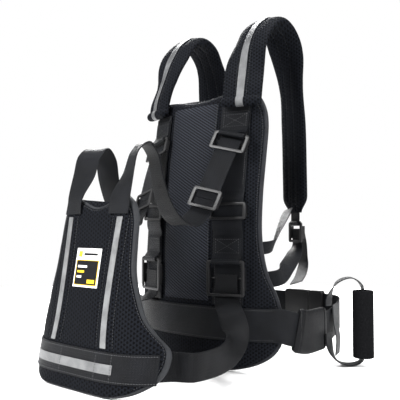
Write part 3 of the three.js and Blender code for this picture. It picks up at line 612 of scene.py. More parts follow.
def box_stitch(body, corner, across, down, width, height):
    """A sewn rectangle with a cross in it, from its upper left corner."""
    a = Vector(corner)
    b = a + Vector(across) * width
    c = b + Vector(down) * height
    d = a + Vector(down) * height
    for line in ((a, b), (b, c), (c, d), (d, a), (a, c), (b, d)):
        seam(body, line)


# %% [markdown]
# ## Panel surfaces
# Both panels are cut flat and bent: their sides curve back round the body and their tops lean. A point is
# given by its place on the cut shape and how far it stands in front of the panel's middle.

# %% Panel surface
class Panel:
    def __init__(self, outline, dip, dip_width, sweep, power, lean):
        self.outline = [Vector((z, w, 0)) * 0.001 for z, w in outline]
        self.top = outline[-1][0] * 0.001
        self.dip, self.dip_width, self.lean = dip, dip_width, lean
        self.sweep, self.power = sweep, power

    def edge(self, v):
        spot = Route.blend(self.outline, v)
        return spot.x, spot.y

    def along(self, x):
        slope = self.power * self.sweep * abs(x * 1000) ** (self.power - 1)
        return Vector((1, math.copysign(slope, x), 0)).normalized()

    def on(self, x, z, offset=0.0):
        along = self.along(x)
        y = (self.sweep * abs(x * 1000) ** self.power + self.lean(z * 1000)) * 0.001
        return Vector((x, y, z)) + Vector((along.y, -along.x, 0)) * offset

    def up(self, z):
        return (self.on(0, z + 0.005) - self.on(0, z - 0.005)).normalized()

    def spot(self, u, v, inset=0.0):
        """Across and up, in metres, of place (u, v) on the cut shape; u runs -1 to 1 and v 0 to 1."""
        z, half = self.edge(v)
        x = u * (half - inset)
        dip = self.dip * math.exp(-1.6 * (x / self.dip_width) ** 2) * smooth(0.55, 1, v)
        return x, inset + (z - dip) * (self.top - 2 * inset) / self.top


PAD = Panel(
    [(0, 62), (4, 92), (13, 120), (28, 140), (50, 150), (84, 150), (112, 145), (150, 132), (200, 124.5),
     (265, 123), (330, 124), (380, 123.5), (404, 119), (422, 110), (434, 96)],
    dip=0.010, dip_width=0.062, sweep=38 / 138 ** 2.5, power=2.5,
    lean=lambda z: 28 * 1.65 * smooth(170, 640, z))
CHILD = Panel(
    [(0, 66), (3, 88), (10, 108), (24, 124), (44, 130), (62, 129), (80, 118), (100, 106), (130, 95),
     (160, 86), (200, 82), (235, 79), (252, 72), (264, 58)],
    dip=0.016, dip_width=0.046, sweep=47 / 130 ** 4.5, power=4.5, lean=lambda z: -198 + 0.17 * (z - 150))
PAD_FACE = 0.009
CHILD_FACE = 0.0065
print("pad", PAD.top, "child panel", CHILD.top)

# %% Panel pieces
def panel_body(name, panel, front, back, inset, across=64, up=84):
    """A closed body over the whole panel, between two offsets given as functions of x, z and closeness
    to the rim (0 at the rim, 1 inside)."""
    rings = []
    for j in range(up + 1):
        v = j / up
        ring = []
        for u, offset in ([(2 * i / across - 1, front) for i in range(across + 1)]
                          + [(1 - 2 * i / across, back) for i in range(across + 1)]):
            x, z = panel.spot(u, v, inset)
            half = panel.edge(v)[1]
            rim = min((half - abs(u) * half) / 0.016, v * panel.top / 0.016, (1 - v) * panel.top / 0.016, 1)
            ring.append(panel.on(x, z, offset(x, z, math.sin(rim * math.pi / 2))))
        rings.append(ring)
    count = len(rings[0])
    flat = [i / count for i in range(count + 1)]
    return loft(name, rings, flat, [i / up for i in range(up + 1)], sharp=60)


def panel_rim(panel, steps=72, neck=28, foot=20):
    rows = [(1, j / steps) for j in range(steps + 1)]
    rows += [(1 - 2 * i / neck, 1) for i in range(1, neck)]
    rows += [(-1, j / steps) for j in range(steps, -1, -1)]
    rows += [(-1 + 2 * i / foot, 0) for i in range(1, foot)]
    return rows


def rim_point(panel, u, v, inset, offset):
    x, z = panel.spot(u, v, inset)
    return panel.on(x, z, offset)


def panel_binding(name, panel, depth, width, groove=0.0):
    """Tape folded round the edge: a rounded section that runs once round the panel."""
    sides = 14
    section = []
    for k in range(sides):
        angle = 2 * math.pi * k / sides
        c, s = math.cos(angle), math.sin(angle)
        reach = math.copysign(abs(c) ** 0.75, c)
        rise = math.copysign(abs(s) ** 0.6, s)
        section.append((width * (0.5 - 0.5 * reach), depth / 2 * rise * (1 - groove * max(c, 0) ** 3)))
    rings = [[rim_point(panel, u, v, inset, offset) for inset, offset in section]
             for u, v in panel_rim(panel)]
    marks = [Vector((a, b, 0)) for a, b in section] + [Vector((*section[0], 0))]
    centres = [ring[0] for ring in rings] + [rings[0][0]]
    return loft(name, rings, running(marks), running(centres), closed=True)


def gauss(x, width):
    return math.exp(-(x / width) ** 2)


# %% [markdown]
# ## Stuffing a cover
# A sewn cover is held at its rim and seams, and the foam pushes it out everywhere else. The cloth solver
# does the same: the rim and seam points are pinned, a little pressure fills the cover, and no point may
# move further than a cap.

# %% Puff
def puffed(obj, panel, pin, cap, ceiling, front_count):
    """Inflates a panel body's front. pin(x, z) is 1 where the cover is sewn down, ceiling(x, z) is how far
    in front of the panel's middle it may stand."""
    mesh = obj.data
    ring = front_count * 2
    held = obj.vertex_groups.new(name="sewn")
    before = [v.co.copy() for v in mesh.vertices]
    for k, co in enumerate(before):
        place = k % ring
        on_front = place < front_count
        edge = min(place, front_count - 1 - place) < 2 if on_front else True
        row = k // ring
        last = len(before) // ring - 1
        weight = 1.0 if edge or row < 2 or row > last - 2 else pin(co.x, co.z)
        held.add([k], weight, "REPLACE")
    cloth = obj.modifiers.new("cloth", "CLOTH")
    settings = cloth.settings
    settings.quality = 5
    settings.mass = 0.25
    settings.use_pressure = True
    settings.uniform_pressure_force = 4.0
    settings.effector_weights.gravity = 0.0
    settings.vertex_group_mass = "sewn"
    settings.tension_stiffness = 12
    settings.compression_stiffness = 12
    settings.bending_stiffness = 0.4
    for step in range(1, 21):
        scene.frame_set(step)
    shaped = obj.evaluated_get(bpy.context.evaluated_depsgraph_get()).data
    after = [v.co.copy() for v in shaped.vertices]
    obj.modifiers.remove(cloth)
    obj.vertex_groups.clear()
    scene.frame_set(1)
    moved = 0.0
    for k, (old, new) in enumerate(zip(before, after)):
        if k % ring >= front_count:
            continue
        step = new - old
        if step.length > cap:
            step = step.normalized() * cap
        spot = old + step
        base = panel.on(spot.x, spot.z)
        along = panel.along(spot.x)
        out = Vector((along.y, -along.x, 0))
        over = (spot - base).dot(out) - ceiling(spot.x, spot.z)
        if over > 0:
            spot -= out * over
        mesh.vertices[k].co = spot
        moved = max(moved, (spot - old).length)
    mesh.update()
    print(obj.name, "puffed by up to", round(moved * 1000, 1), "mm")


# %% [markdown]
# ## The adult's back pad
# Foam cut to shape, with a spacer mesh face and a woven back. The cover is sewn down in lines, so the foam
# swells between them. Tape folded over the edge hides the raw layers.

# %% Back pad
def pad_front(x, z, rim):
    seams = gauss(abs(x) - 0.1085, 0.0028) * smooth(0.10, 0.14, z)
    puff = 0.0012 * gauss(abs(x) - 0.128, 0.012) * smooth(0.03, 0.08, z)
    lobe = 0.0016 * gauss(z - 0.050, 0.02) * rim
    return 0.0045 + (PAD_FACE - 0.0045) * rim - 0.0022 * seams * rim + puff * rim + lobe


def pad_pin(x, z):
    lines = gauss(abs(x) - 0.1085, 0.0035) * smooth(0.10, 0.14, z)
    return max(lines, 1.0 if abs(x) < 0.104 and z > 0.1 else 0.0)


BELT_MIDDLE = (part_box("buckle_female")[0][2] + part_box("buckle_female")[1][2]) / 2


def pad_ceiling(x, z):
    """The cover stays flat under the webbing columns and the waist belt."""
    belt = gauss(z - BELT_MIDDLE, 0.034)
    return PAD_FACE + 0.0002 + 0.0042 * smooth(0.104, 0.112, abs(x)) * (1 - smooth(0.3, 0.7, belt)) \
        + 0.0036 * (1 - smooth(0.025, 0.040, z))


pad_cushion = panel_body("pad_cushion", PAD, pad_front, lambda x, z, rim: -0.004 - 0.0015 * rim, 0.002)
puffed(pad_cushion, PAD, pad_pin, 0.006, pad_ceiling, 65)
dress(pad_cushion, ["pad_face_mesh", "pad_foam_core"], "spacer_mesh")


def pad_rear(x, z, rim):
    quilt = gauss(abs(x) - 0.05, 0.003) + gauss(z - 0.13, 0.003) + gauss(z - 0.30, 0.003)
    return -0.0047 - (PAD_FACE - 0.0047) * rim + 0.002 * min(quilt, 1) * rim


pad_lining = panel_body("pad_lining", PAD, lambda x, z, rim: -0.0042 - 0.0014 * rim, pad_rear, 0.0022)
dress(pad_lining, "pad_back_lining", "lining")
pad_binding = panel_binding("pad_binding", PAD, 0.0118, 0.0062)
dress(pad_binding, "pad_edge_binding", "binding")
for offset in (0.0068, -0.0068):
    rim_line = [rim_point(PAD, u, v, 0.0068, offset) for u, v in panel_rim(PAD)]
    seam("back_pad", rim_line + rim_line[:1])
print("pad cushion", len(pad_cushion.data.polygons), "faces")

# %% Ribbed tongue down the middle
def tongue():
    low, high, half = 0.106, 0.416, 0.047
    rings = []
    rows, columns = 90, 32
    for j in range(rows + 1):
        v = j / rows
        z = low + (high - low) * v
        ends = (smooth(0, 0.05, v) * (1 - smooth(0.95, 1, v))) ** 0.6
        front = []
        back = []
        for i in range(columns + 1):
            q = 2 * i / columns - 1
            swell = (1 - abs(q) ** 3.2) * ends
            dimple = 0.0014 * gauss(z - 0.228, 0.004)
            front.append(PAD.on(q * half, z, PAD_FACE + 0.0012 + 0.0052 * swell - dimple * swell))
            back.append(PAD.on(q * half, z, PAD_FACE - 0.0008))
        rings.append(front + back[::-1])
    count = len(rings[0])
    obj = loft("tongue_cushion", rings, [i / count for i in range(count + 1)],
               [i / rows for i in range(rows + 1)])
    seam_low, seam_run = low + 0.004, high - low - 0.008
    for side in (-1, 1):
        seam("back_pad", [PAD.on(side * 0.0455, seam_low + seam_run * k / 80, PAD_FACE + 0.0022)
                          for k in range(81)])
    return obj


pad_tongue = tongue()
dress(pad_tongue, "pad_centre_tongue", "rib_mesh")

# %% [markdown]
# ## Webbing columns
# A 50 mm strap is sewn up each side of the pad. Short loops of the same webbing hold the adjusters: the
# loop is folded round the adjuster's top bar and sewn down with a boxed cross, the strongest flat seam.

# %% Columns and adjuster loops
WEB = 0.0016
COLUMN_X, COLUMN_BACK = 0.078, 0.0095
EYE = 0.0035
TRI_GLIDE = mm(68, -36, 262)


def bar_of(z, side):
    return PAD.on(side * COLUMN_X, z, COLUMN_BACK + WEB + 0.007)


def slider_frame(side):
    """The pulled adjuster's across and up directions."""
    along = PAD.along(side * COLUMN_X)
    pull = (bar_of(0.363, side) - mirror(TRI_GLIDE, side)).normalized()
    return (along - pull * along.dot(pull)).normalized(), pull


for side, label in SIDES:
    x = side * COLUMN_X
    along = PAD.along(x)

    def column_lift(z):
        return 0.0036 * smooth(0.212, 0.224, z) * (1 - smooth(0.264, 0.276, z))

    stops = [(PAD.on(x, z, COLUMN_BACK + column_lift(z) + WEB / 2), along)
             for z in np.linspace(0.102, 0.408, 40)]
    dress(strap(f"column_{label}", stops, 0.050), f"column_webbing_{label}", "webbing")
    pull_across, pull = slider_frame(side)
    for bar_z, tab_top, across in ((0.363, 0.398, pull_across), (0.167, 0.204, along)):
        bar = bar_of(bar_z, side)
        out = Vector((across.y, -across.x, 0)).normalized()
        rise = -across.cross(out)
        tab = COLUMN_BACK + WEB * 1.5 - 0.0001
        foot = bar_z + 0.0043 + 0.008
        stops = [(PAD.on(x, tab_top - (tab_top - foot) * k / 5, tab), along) for k in range(6)]
        for k in range(11):
            angle = math.radians(80 - k * 33)
            stops.append((bar + out * -math.cos(angle) * EYE + rise * math.sin(angle) * EYE, across))
        loop = strap(f"loop_{label}_{int(bar_z * 1000)}", stops, 0.046, step=0.0012)
        dress(loop, [], "webbing", body="back_pad")
        face = tab + WEB / 2 + 0.0002
        corner = PAD.on(x, tab_top - 0.003, face) - along * 0.019
        box_stitch("back_pad", corner, along, -PAD.up(bar_z), 0.038, max(tab_top - foot - 0.004, 0.01))
    for edge in (-1, 1):
        for low, high in ((0.104, 0.202), (0.286, 0.406)):
            seam("back_pad", [PAD.on(x, z, COLUMN_BACK + WEB + 0.0002) + along * edge * 0.0215
                              for z in np.linspace(low, high, 30)])
    hem = [PAD.on(x, 0.400, COLUMN_BACK + WEB + 0.0003) + along * (k / 10 - 0.5) * 0.04 for k in range(11)]
    seam("back_pad", hem)

# %% [markdown]
# ## Moulded hardware
# Sliders, tri-glides and the side-release buckle are injection moulded. Their edges are rounded so they
# do not cut the webbing, which is why every edge catches a thin highlight.

# %% Rounded mouldings
def moulding(node, width=0.0007, angle=35):
    """A CAD node's own shape with its edges rounded."""
    mesh = frame["nodes"][node].data.copy()
    edit = bmesh.new()
    edit.from_mesh(mesh)
    bmesh.ops.remove_doubles(edit, verts=edit.verts, dist=1e-5)
    bmesh.ops.dissolve_limit(edit, angle_limit=math.radians(3), verts=edit.verts, edges=edit.edges)
    edit.to_mesh(mesh)
    edit.free()
    mesh.name = f"{node}_moulding"
    obj = bpy.data.objects.new(f"{node}_moulding", mesh)
    scene.collection.objects.link(obj)
    bevel = obj.modifiers.new("rounded edges", "BEVEL")
    bevel.width = width
    bevel.segments = 3
    bevel.limit_method = "ANGLE"
    bevel.angle_limit = math.radians(angle)
    bevel.harden_normals = False
    made = bpy.data.meshes.new_from_object(obj.evaluated_get(bpy.context.evaluated_depsgraph_get()))
    obj.modifiers.clear()
    obj.data = made
    made.polygons.foreach_set("use_smooth", [True] * len(made.polygons))
    made.set_sharp_from_angle(angle=math.radians(50))
    return dress(obj, node, "plastic")


for kind in ("middle_slider", "upper_slider", "lower_slider", "tri_glide", "ladder_lock"):
    for _, label in SIDES:
        moulding(f"{kind}_{label}")
moulding("buckle_female", 0.0016)
moulding("buckle_male", 0.0012)
moulding("buckle_prong_lower", 0.0006)
moulding("buckle_prong_upper", 0.0006)

# %% [markdown]
# ## Waist belt
# One 50 mm belt lies over the pad's wide waist and runs round the wearer to the buckle behind. The loose
# end hangs down, so that the belt can be pulled tight with one hand.

# %% Belt
UPRIGHT = Vector((0, 0, 1))
BELT_Z = 0.073
BELT_SAG = 0.013
BUCKLE_Y = 0.277
SIDE_RUN = [(165, 52), (167, 80), (164, 118), (158, 158)]
belt_offset = PAD_FACE + 0.0005 + 0.0014


def belt_stops(points, side=1):
    """The belt sags at the wearer's sides, where the handles hang."""
    sag = [BELT_SAG * smooth(20, 90, y) * (1 - smooth(140, 255, y)) for _, y in points]
    return [(Vector((side * x * 0.001, y * 0.001, BELT_Z - drop)), UPRIGHT)
            for (x, y), drop in zip(points, sag)]


pad_run = [(PAD.on(x * 0.001, BELT_Z, belt_offset + 0.0025 * smooth(105, 147, abs(x))), UPRIGHT)
           for x in (-147, -125, -85, -45, 0, 45, 85, 125, 147)]
front_belt = belt_stops(SIDE_RUN[2::-1], -1) + pad_run + belt_stops(SIDE_RUN[:3])
dress(strap("belt_cloth", front_belt, 0.050, start=0.004, end=0.996), "belt_webbing", "webbing")
left_belt = belt_stops(SIDE_RUN[2:], -1) + belt_stops(
    [(-145, 200), (-122, 240), (-90, 264), (-50, 275), (-20, 277), (-3, 277)])
right_belt = belt_stops(SIDE_RUN[2:] + [(147, 200), (132, 236), (112, 262), (92, 274), (82, 277), (69, 277)])
dress(strap("belt_left_cloth", left_belt, 0.050, start=0.003), "belt_left", "webbing")
belt_right = strap("belt_right_cloth", right_belt, 0.050, start=0.003)
dress(belt_right, "belt_right", "webbing",
      blend=("back_pad", "buckle_plug", mm(150, 190, 73), mm(80, 277, 73)))
seam_on_strap("back_pad", front_belt, 0.050, 0.25, 0.75)
tail_across = Vector((-0.3, 0.95, 0))
tail = strap("belt_tail_cloth", [
    (mm(155.5, 182, 93), tail_across), (mm(156.5, 183, 65), tail_across),
    (mm(160, 185, 39), tail_across), (mm(158, 186, 12), tail_across)], 0.026)
dress(tail, "belt_tail", "piping")

# %% [markdown]
# ## Handles
# A padded sleeve wraps the belt on each side. From it a D-shaped webbing handle carries a foam tube that
# the child holds.

# %% Sleeves and handles
def sleeve(name, stops, low, high):
    """A soft wrap round the belt, pinched and sewn at both ends."""
    route = Route(stops)
    rings = []
    centres = []
    count = 40
    for s in range(count + 1):
        t = low + (high - low) * s / count
        middle, tangent, _, _ = route.at(t)
        out = tangent.cross(UPRIGHT).normalized()
        rise = out.cross(tangent)
        end = min(s, count - s) / count
        swell = smooth(0, 0.10, end)
        seams = 1 - 0.22 * gauss(end - 0.13, 0.012)
        ring = []
        for k in range(40):
            angle = 2 * math.pi * k / 40
            c, n = math.cos(angle), math.sin(angle)
            deep = math.copysign(abs(c) ** 0.55, c) * (0.0034 + 0.0022 * swell) * seams
            tall = math.copysign(abs(n) ** 0.42, n) * (0.0305 + 0.0025 * swell)
            ring.append(middle + out * deep + rise * tall)
        rings.append(ring)
        centres.append(middle)
    marks = running(rings[20] + rings[20][:1])
    return loft(name, rings, marks, running(centres), sharp=60)


GRIP_X, GRIP_Y = 0.207, 0.183
for side, label in SIDES:
    pad_end = pad_run[-1][0] * 1000
    run = belt_stops([(pad_end.x, pad_end.y), *SIDE_RUN, (147, 200)], side)
    wrap = sleeve(f"sleeve_{label}", run, 0.24, 0.73)
    dress(wrap, f"handle_sleeve_{label}", "webbing_soft")
    route = Route(run)
    for t in (0.285, 0.685):
        middle, tangent, _, _ = route.at(t)
        out = tangent.cross(UPRIGHT).normalized()
        for face in (-0.0050, 0.0050):
            seam("back_pad", [middle + out * face + UPRIGHT * (k / 16 - 0.5) * 0.056 for k in range(17)])
    at_grip = Vector((-0.65, 0.76, 0))
    at_sleeve = Vector((-0.15, 0.99, 0))
    loop = [(mm(169.5, 141, 95), at_sleeve), (mm(171, 142, 109), at_sleeve), (mm(179, 155, 133), at_grip),
            (mm(194, 170, 139), at_grip), (mm(205, 181, 128), at_grip), (mm(207, 183, 112), at_grip),
            (mm(207, 183, 66), at_grip), (mm(207, 183, 22), at_grip), (mm(204, 180, 8), at_grip),
            (mm(192, 169, 2.5), at_grip), (mm(179, 153, 8), at_grip), (mm(171, 143, 30), at_sleeve),
            (mm(169.5, 141, 53), at_sleeve)]
    handle = strap(f"handle_{label}", mirrored_stops(loop, side), 0.022)
    dress(handle, f"handle_webbing_{label}", "webbing",
          blend=("back_pad", f"handle_{label}", mirror(mm(170, 141, 73), side),
                 mirror(mm(190, 166, 73), side)))
    profile = [(12.2, 13), (13.5, 13), (15.0, 13.0), (16.0, 13.6), (16.5, 15.0)]
    profile += [(16.5, 15 + 102 * k / 20) for k in range(1, 20)]
    profile += [(16.5, 117.0), (16.0, 118.4), (15.0, 119.0), (13.5, 119), (12.2, 119)]
    rings = [[Vector((side * GRIP_X + r * 0.001 * math.cos(a), GRIP_Y + r * 0.001 * math.sin(a), z * 0.001))
              for r, z in profile] for a in np.linspace(0, 2 * math.pi, 49)[:-1]]
    grip = loft(f"grip_{label}", rings, [i * 0.004 for i in range(len(profile) + 1)],
                [i * 0.002 for i in range(49)], closed=True, sharp=60)
    dress(grip, f"handle_grip_{label}", "grip_foam")

# %% [markdown]
# ## Adult shoulder straps
# Each strap is a strip of foam in spacer mesh, sewn down either side of a reflective tape and edged with
# piping. It starts behind a sewn cuff on the pad, goes over the shoulder and ends at a ladder lock.

# %% Shoulder straps
SHOULDER_X = 0.087


def roll(name, middle, across, out, up, half):
    """The strap's foot: cloth rolled over its own raw end, with rounded ends."""
    rings = []
    for s in range(33):
        q = math.sin(math.pi / 2 * (-1 + s / 16)) * 0.999
        size = (1 - abs(q) ** 6) ** 0.5
        rings.append([middle + across * q * half + out * math.cos(a) * 0.0078 * size
                      + up * math.sin(a) * 0.0083 * size for a in np.linspace(0, 2 * math.pi, 25)[:-1]])
    return loft(name, rings, [k * 0.002 for k in range(25)], [k * 0.002 for k in range(33)], sharp=60)


def shoulder_section(width, deep):
    """Two foam rolls either side of a sewn-down channel where the tape lies."""
    rows = []
    columns = 30
    for i in range(columns + 1):
        q = math.sin(math.pi / 2 * (-1 + 2 * i / columns))
        roll = deep * (1 - abs(q) ** 3.2) ** 0.5 - 0.0016 * gauss(abs(q) - 0.29, 0.07)
        rows.append((q * width / 2, max(roll, 0.0)))
    return rows


for side, label in SIDES:
    root_across = Vector((0.95, 0.31, 0))
    level = Vector((1, 0, 0))
    far = Vector((0.94, -0.34, 0))

    def root(z):
        return PAD.on(SHOULDER_X, z, PAD_FACE + 0.0005 + 0.0082)

    stops = mirrored_stops([
        (root(0.411), root_across), (root(0.432), root_across), (mm(88, 34, 470), root_across),
        (mm(88, 48, 508), level), (mm(87, 70, 539), level), (mm(87, 98, 555), level),
        (mm(87, 126, 545), level), (mm(87, 147, 513), level), (mm(87, 159, 462), far),
        (mm(88, 165, 390), far), (mm(89, 166, 310), far), (mm(90, 166, 244), far)], side)
    cushion = strap(f"shoulder_cushion_{label}", stops, 0.065, shape=shoulder_section(0.065, 0.0082),
                    narrow=0.45)
    dress(cushion, f"shoulder_pad_{label}", "spacer_mesh")
    route = Route(stops)
    line = [route.at(0.02 + 0.96 * k / 120) for k in range(121)]
    for edge in (-0.0094, 0.0094):
        for face in (-0.0066, 0.0066):
            seam("back_pad", [m + a * edge + o * face for m, _, a, o in line])
    tape = strap(f"tape_{label}", stops, 0.0125, 0.0008, start=0.03, end=0.9, lift=-side * 0.0089)
    dress(tape, f"shoulder_tape_{label}", "shoulder_tape")
    cuff_at = PAD.on(side * SHOULDER_X, 0.414, PAD_FACE + 0.0122)
    cuff_across = (mirror(root_across, side) * side).normalized()
    cuff_up = PAD.up(0.414)
    cuff_out = cuff_across.cross(cuff_up)
    dress(roll(f"cuff_{label}", cuff_at, cuff_across, cuff_out, cuff_up, 0.0345), f"shoulder_cuff_{label}",
          "spacer_mesh")
    around = [(cuff_at + cuff_out * math.cos(a) * 0.0083 + cuff_up * math.sin(a) * 0.0088, cuff_across)
              for a in np.linspace(1.5, -1.5, 9)]
    cuff_tape = strap(f"cuff_tape_{label}", around, 0.0125, 0.0008, step=0.001)
    dress(cuff_tape, [], "shoulder_tape", body="back_pad")
    lock = Vector((side * 0.090, 0.166, 0.226))
    lock_across = mirror(far, side) * side
    out = Vector((lock_across.y, -lock_across.x, 0)).normalized()
    tab_stops = [(Vector((side * 0.090, 0.166, 0.254 - k * 0.005)), lock_across) for k in range(4)]
    for k in range(11):
        angle = math.radians(80 - k * 33)
        tab_stops.append((lock + out * math.cos(angle) * EYE + UPRIGHT * math.sin(angle) * EYE, lock_across))
    dress(strap(f"lock_tab_{label}", tab_stops, 0.024, step=0.0012), [], "webbing", body="back_pad")

# %% Lower shoulder webbing
def hung_middle(bar, across, up, height):
    inwards = up.cross(across)
    slider_depth, bar_size = 0.0074, 0.0024
    return bar - up * (height / 2 - (bar_size + 0.0015) / 2) + inwards * (slider_depth - bar_size) / 2


for side, label in SIDES:
    far = Vector((0.94, -0.34, 0))
    lock_at = hung_middle(Vector((0.090, 0.166, 0.226)), far, UPRIGHT, 0.034)
    lower = [(lock_at + UPRIGHT * dz, far) for dz in (0.006, -0.008, -0.021)]
    lower += [(mm(98, 150, 174), Vector((0.93, 0.1, -0.25))), (mm(116, 104, 155), Vector((0.64, 0.5, -0.55))),
              (mm(130, 66, 142), Vector((0.15, 0.1, -1))),
              (PAD.on(0.122, 0.138, -PAD_FACE - 0.002), -UPRIGHT)]
    webbing = strap(f"lower_webbing_{label}", mirrored_stops(lower, side), 0.025)
    dress(webbing, f"shoulder_webbing_{label}", "webbing",
          blend=(f"ladder_lock_{label}", "back_pad", mirror(mm(92, 168, 190), side),
                 mirror(mm(116, 104, 155), side)))
    tail = [(mm(92, 177, 212), far), (mm(93, 182, 190), far), (mm(96, 180, 160), far),
            (mm(103, 162, 140), Vector((0.95, -0.1, 0.2))), (mm(110, 138, 128), Vector((0.95, 0, 0.25)))]
    dress(strap(f"tail_{label}", mirrored_stops(tail, side), 0.025), f"shoulder_tail_{label}", "webbing")
    steady = [(mm(84, 155.5, 250), Vector((0.95, -0.3, 0))), (mm(88, 140, 238), Vector((0.95, -0.3, 0))),
              (mm(104, 96, 208), Vector((0.7, 0, 0.7))), (mm(118, 62, 190), Vector((0.3, 0, 0.95))),
              (PAD.on(0.112, 0.186, -PAD_FACE - 0.003), UPRIGHT)]
    dress(strap(f"steady_{label}", mirrored_stops(steady, side), 0.020), f"steady_strap_{label}", "webbing")

# %% [markdown]
# ## The child's panel
# The small panel is padded like the big one. Two raised channels carry reflective stripes, a flat band
# crosses the foot, and a woven patch sits in the middle. The patch here has plain shapes, no words.

# %% Child's panel
STRIPE_LOW, STRIPE_HIGH = 0.062, 0.234


def stripe_at(v):
    """How far out the middle of a stripe lies, from its foot at 0 to its top at 1."""
    return 0.050 + 0.005 * (1 - v) ** 6 + 0.004 * v * v


def from_stripe(x, z):
    """How far a point lies outside the middle of the nearer stripe."""
    v = (z - STRIPE_LOW) / (STRIPE_HIGH - STRIPE_LOW)
    return abs(x) - stripe_at(min(max(v, 0.0), 1.0))


def child_front(x, z, rim):
    away = from_stripe(x, z)
    channel = 0.0016 * math.exp(-(away / 0.011) ** 4) * smooth(0.055, 0.07, z)
    seams = (gauss(abs(away) - 0.0145, 0.0018)) * smooth(0.055, 0.07, z)
    belly = 0.0008 * gauss(x, 0.03) * smooth(0.06, 0.1, z)
    band = 0.0006 * gauss(z - 0.039, 0.02)
    return 0.0032 + (CHILD_FACE - 0.0032) * rim + (channel - 0.0016 * seams + belly - band) * rim


child_cushion = panel_body("child_cushion", CHILD, child_front,
                           lambda x, z, rim: -0.0025 - 0.001 * rim, 0.002, across=88, up=72)


def child_pin(x, z):
    away = abs(from_stripe(x, z))
    lines = gauss(away - 0.0145, 0.003) * smooth(0.055, 0.07, z)
    patch = abs(x) < 0.033 and 0.130 < z < 0.197
    return max(lines, 1.0 if away < 0.0145 or z < 0.06 or patch else 0.0)


def child_ceiling(x, z):
    """The cover stays behind the band, the stripes and the patch."""
    away = abs(from_stripe(x, z))
    flat = max(gauss(away, 0.008), gauss(x, 0.028) * gauss(z - 0.163, 0.03), 1 - smooth(0.058, 0.066, z))
    return CHILD_FACE + 0.0010 + 0.0035 * (1 - smooth(0.2, 0.6, flat))


puffed(child_cushion, CHILD, child_pin, 0.005, child_ceiling, 89)
dress(child_cushion, ["child_face_mesh", "child_foam_core"], "spacer_mesh")
child_lining = panel_body("child_back", CHILD, lambda x, z, rim: -0.0026 - 0.001 * rim,
                          lambda x, z, rim: -0.0032 - (CHILD_FACE - 0.0032) * rim, 0.0022, across=48, up=60)
dress(child_lining, "child_lining", "lining")
child_binding = panel_binding("child_binding", CHILD, 0.0092, 0.0056, groove=0.35)
dress(child_binding, "child_edge_binding", "piping")
for offset in (0.0056, -0.0056):
    rim_line = [rim_point(CHILD, u, v, 0.0062, offset) for u, v in panel_rim(CHILD)]
    seam("child_panel", rim_line + rim_line[:1])

# %% Bands, stripes and patch
def trim(name, left, right, low, high, back, thick, columns, rows):
    """A flat band sewn on the child's panel, with its cloth map in metres."""
    rings = []
    for j in range(rows + 1):
        v = j / rows
        z = low + (high - low) * v
        xs = [left(v) + (right(v) - left(v)) * i / columns for i in range(columns + 1)]
        front = [CHILD.on(x, z, back + thick) for x in xs]
        rear = [CHILD.on(x, z, back) for x in reversed(xs)]
        rings.append(front + rear)
    marks = running(rings[rows // 2] + rings[rows // 2][:1])
    return loft(name, rings, marks, running([ring[0] for ring in rings]))


band_back = CHILD_FACE + 0.0002
band = trim("band", lambda v: -0.121, lambda v: 0.121, 0.020, 0.058, band_back, 0.0014, 60, 8)
dress(band, "child_band", "webbing")
tape = trim("band_tape", lambda v: -0.100, lambda v: 0.074, 0.031, 0.043, band_back + 0.0015, 0.0007, 50, 3)
dress(tape, "child_band_tape", "reflective")
band_face = band_back + 0.0016
for z in (0.0225, 0.0555):
    seam("child_panel", [CHILD.on(x, z, band_face) for x in np.linspace(-0.119, 0.119, 80)], "grey_thread")
for x in (-0.098, -0.030, 0.045, 0.072):
    seam("child_panel", [CHILD.on(x, z, band_face + 0.0006) for z in np.linspace(0.0225, 0.0555, 12)],
         "grey_thread")
for side, label in SIDES:
    def centre(v):
        return side * stripe_at(v)

    stripe = trim(f"stripe_{label}", lambda v: centre(v) - 0.005, lambda v: centre(v) + 0.005,
                  STRIPE_LOW, STRIPE_HIGH, CHILD_FACE + 0.0014, 0.0006, 6, 60)
    dress(stripe, f"child_stripe_{label}", "reflective")
    for edge in (-0.0145, 0.0145):
        seam("child_panel", [CHILD.on(centre(v) + edge, 0.064 + 0.170 * v, CHILD_FACE - 0.0002)
                             for v in np.linspace(0, 1, 50)])


def patch_piece(name, x0, x1, z0, z1, layer, material, nodes=()):
    back = CHILD_FACE + 0.0010 + layer * 0.0003
    piece = trim(name, lambda v: x0, lambda v: x1, z0, z1, back, 0.0004, 12, 8)
    return dress(piece, list(nodes), material, body="child_panel")


patch_piece("patch_base", -0.027, 0.027, 0.137, 0.190, 0, "patch_white", ["patch"])
patch_piece("patch_field", -0.0245, 0.0245, 0.1395, 0.174, 1, "patch_black")
for k, (x0, x1, z0, z1) in enumerate([
        (-0.0245, 0.0245, 0.1395, 0.1403), (-0.0245, 0.0245, 0.1732, 0.174),
        (-0.0245, -0.0237, 0.1395, 0.174), (0.0237, 0.0245, 0.1395, 0.174),
        (0.004, 0.020, 0.1425, 0.1475)]):
    patch_piece(f"patch_line_{k}", x0, x1, z0, z1, 2, "patch_yellow")
for k, (right, z, color) in enumerate([(0.000, 0.1635, "patch_white"), (-0.005, 0.1565, "patch_yellow"),
                                       (-0.010, 0.1495, "patch_white")]):
    patch_piece(f"patch_dash_{k}", -0.020, right, z, z + 0.003, 2, color)
patch_piece("patch_square", -0.022, -0.014, 0.178, 0.186, 1, "patch_yellow")
patch_piece("patch_bar", -0.010, 0.020, 0.1805, 0.1835, 1, "patch_black")

# %% [markdown]
# ## Straps between the panels
# Each of the child's shoulder straps rises from the panel, folds over, hangs in a loop and climbs to a
# tri-glide. The waist belts go from the panel's wings round the child to the pad's lower sliders.

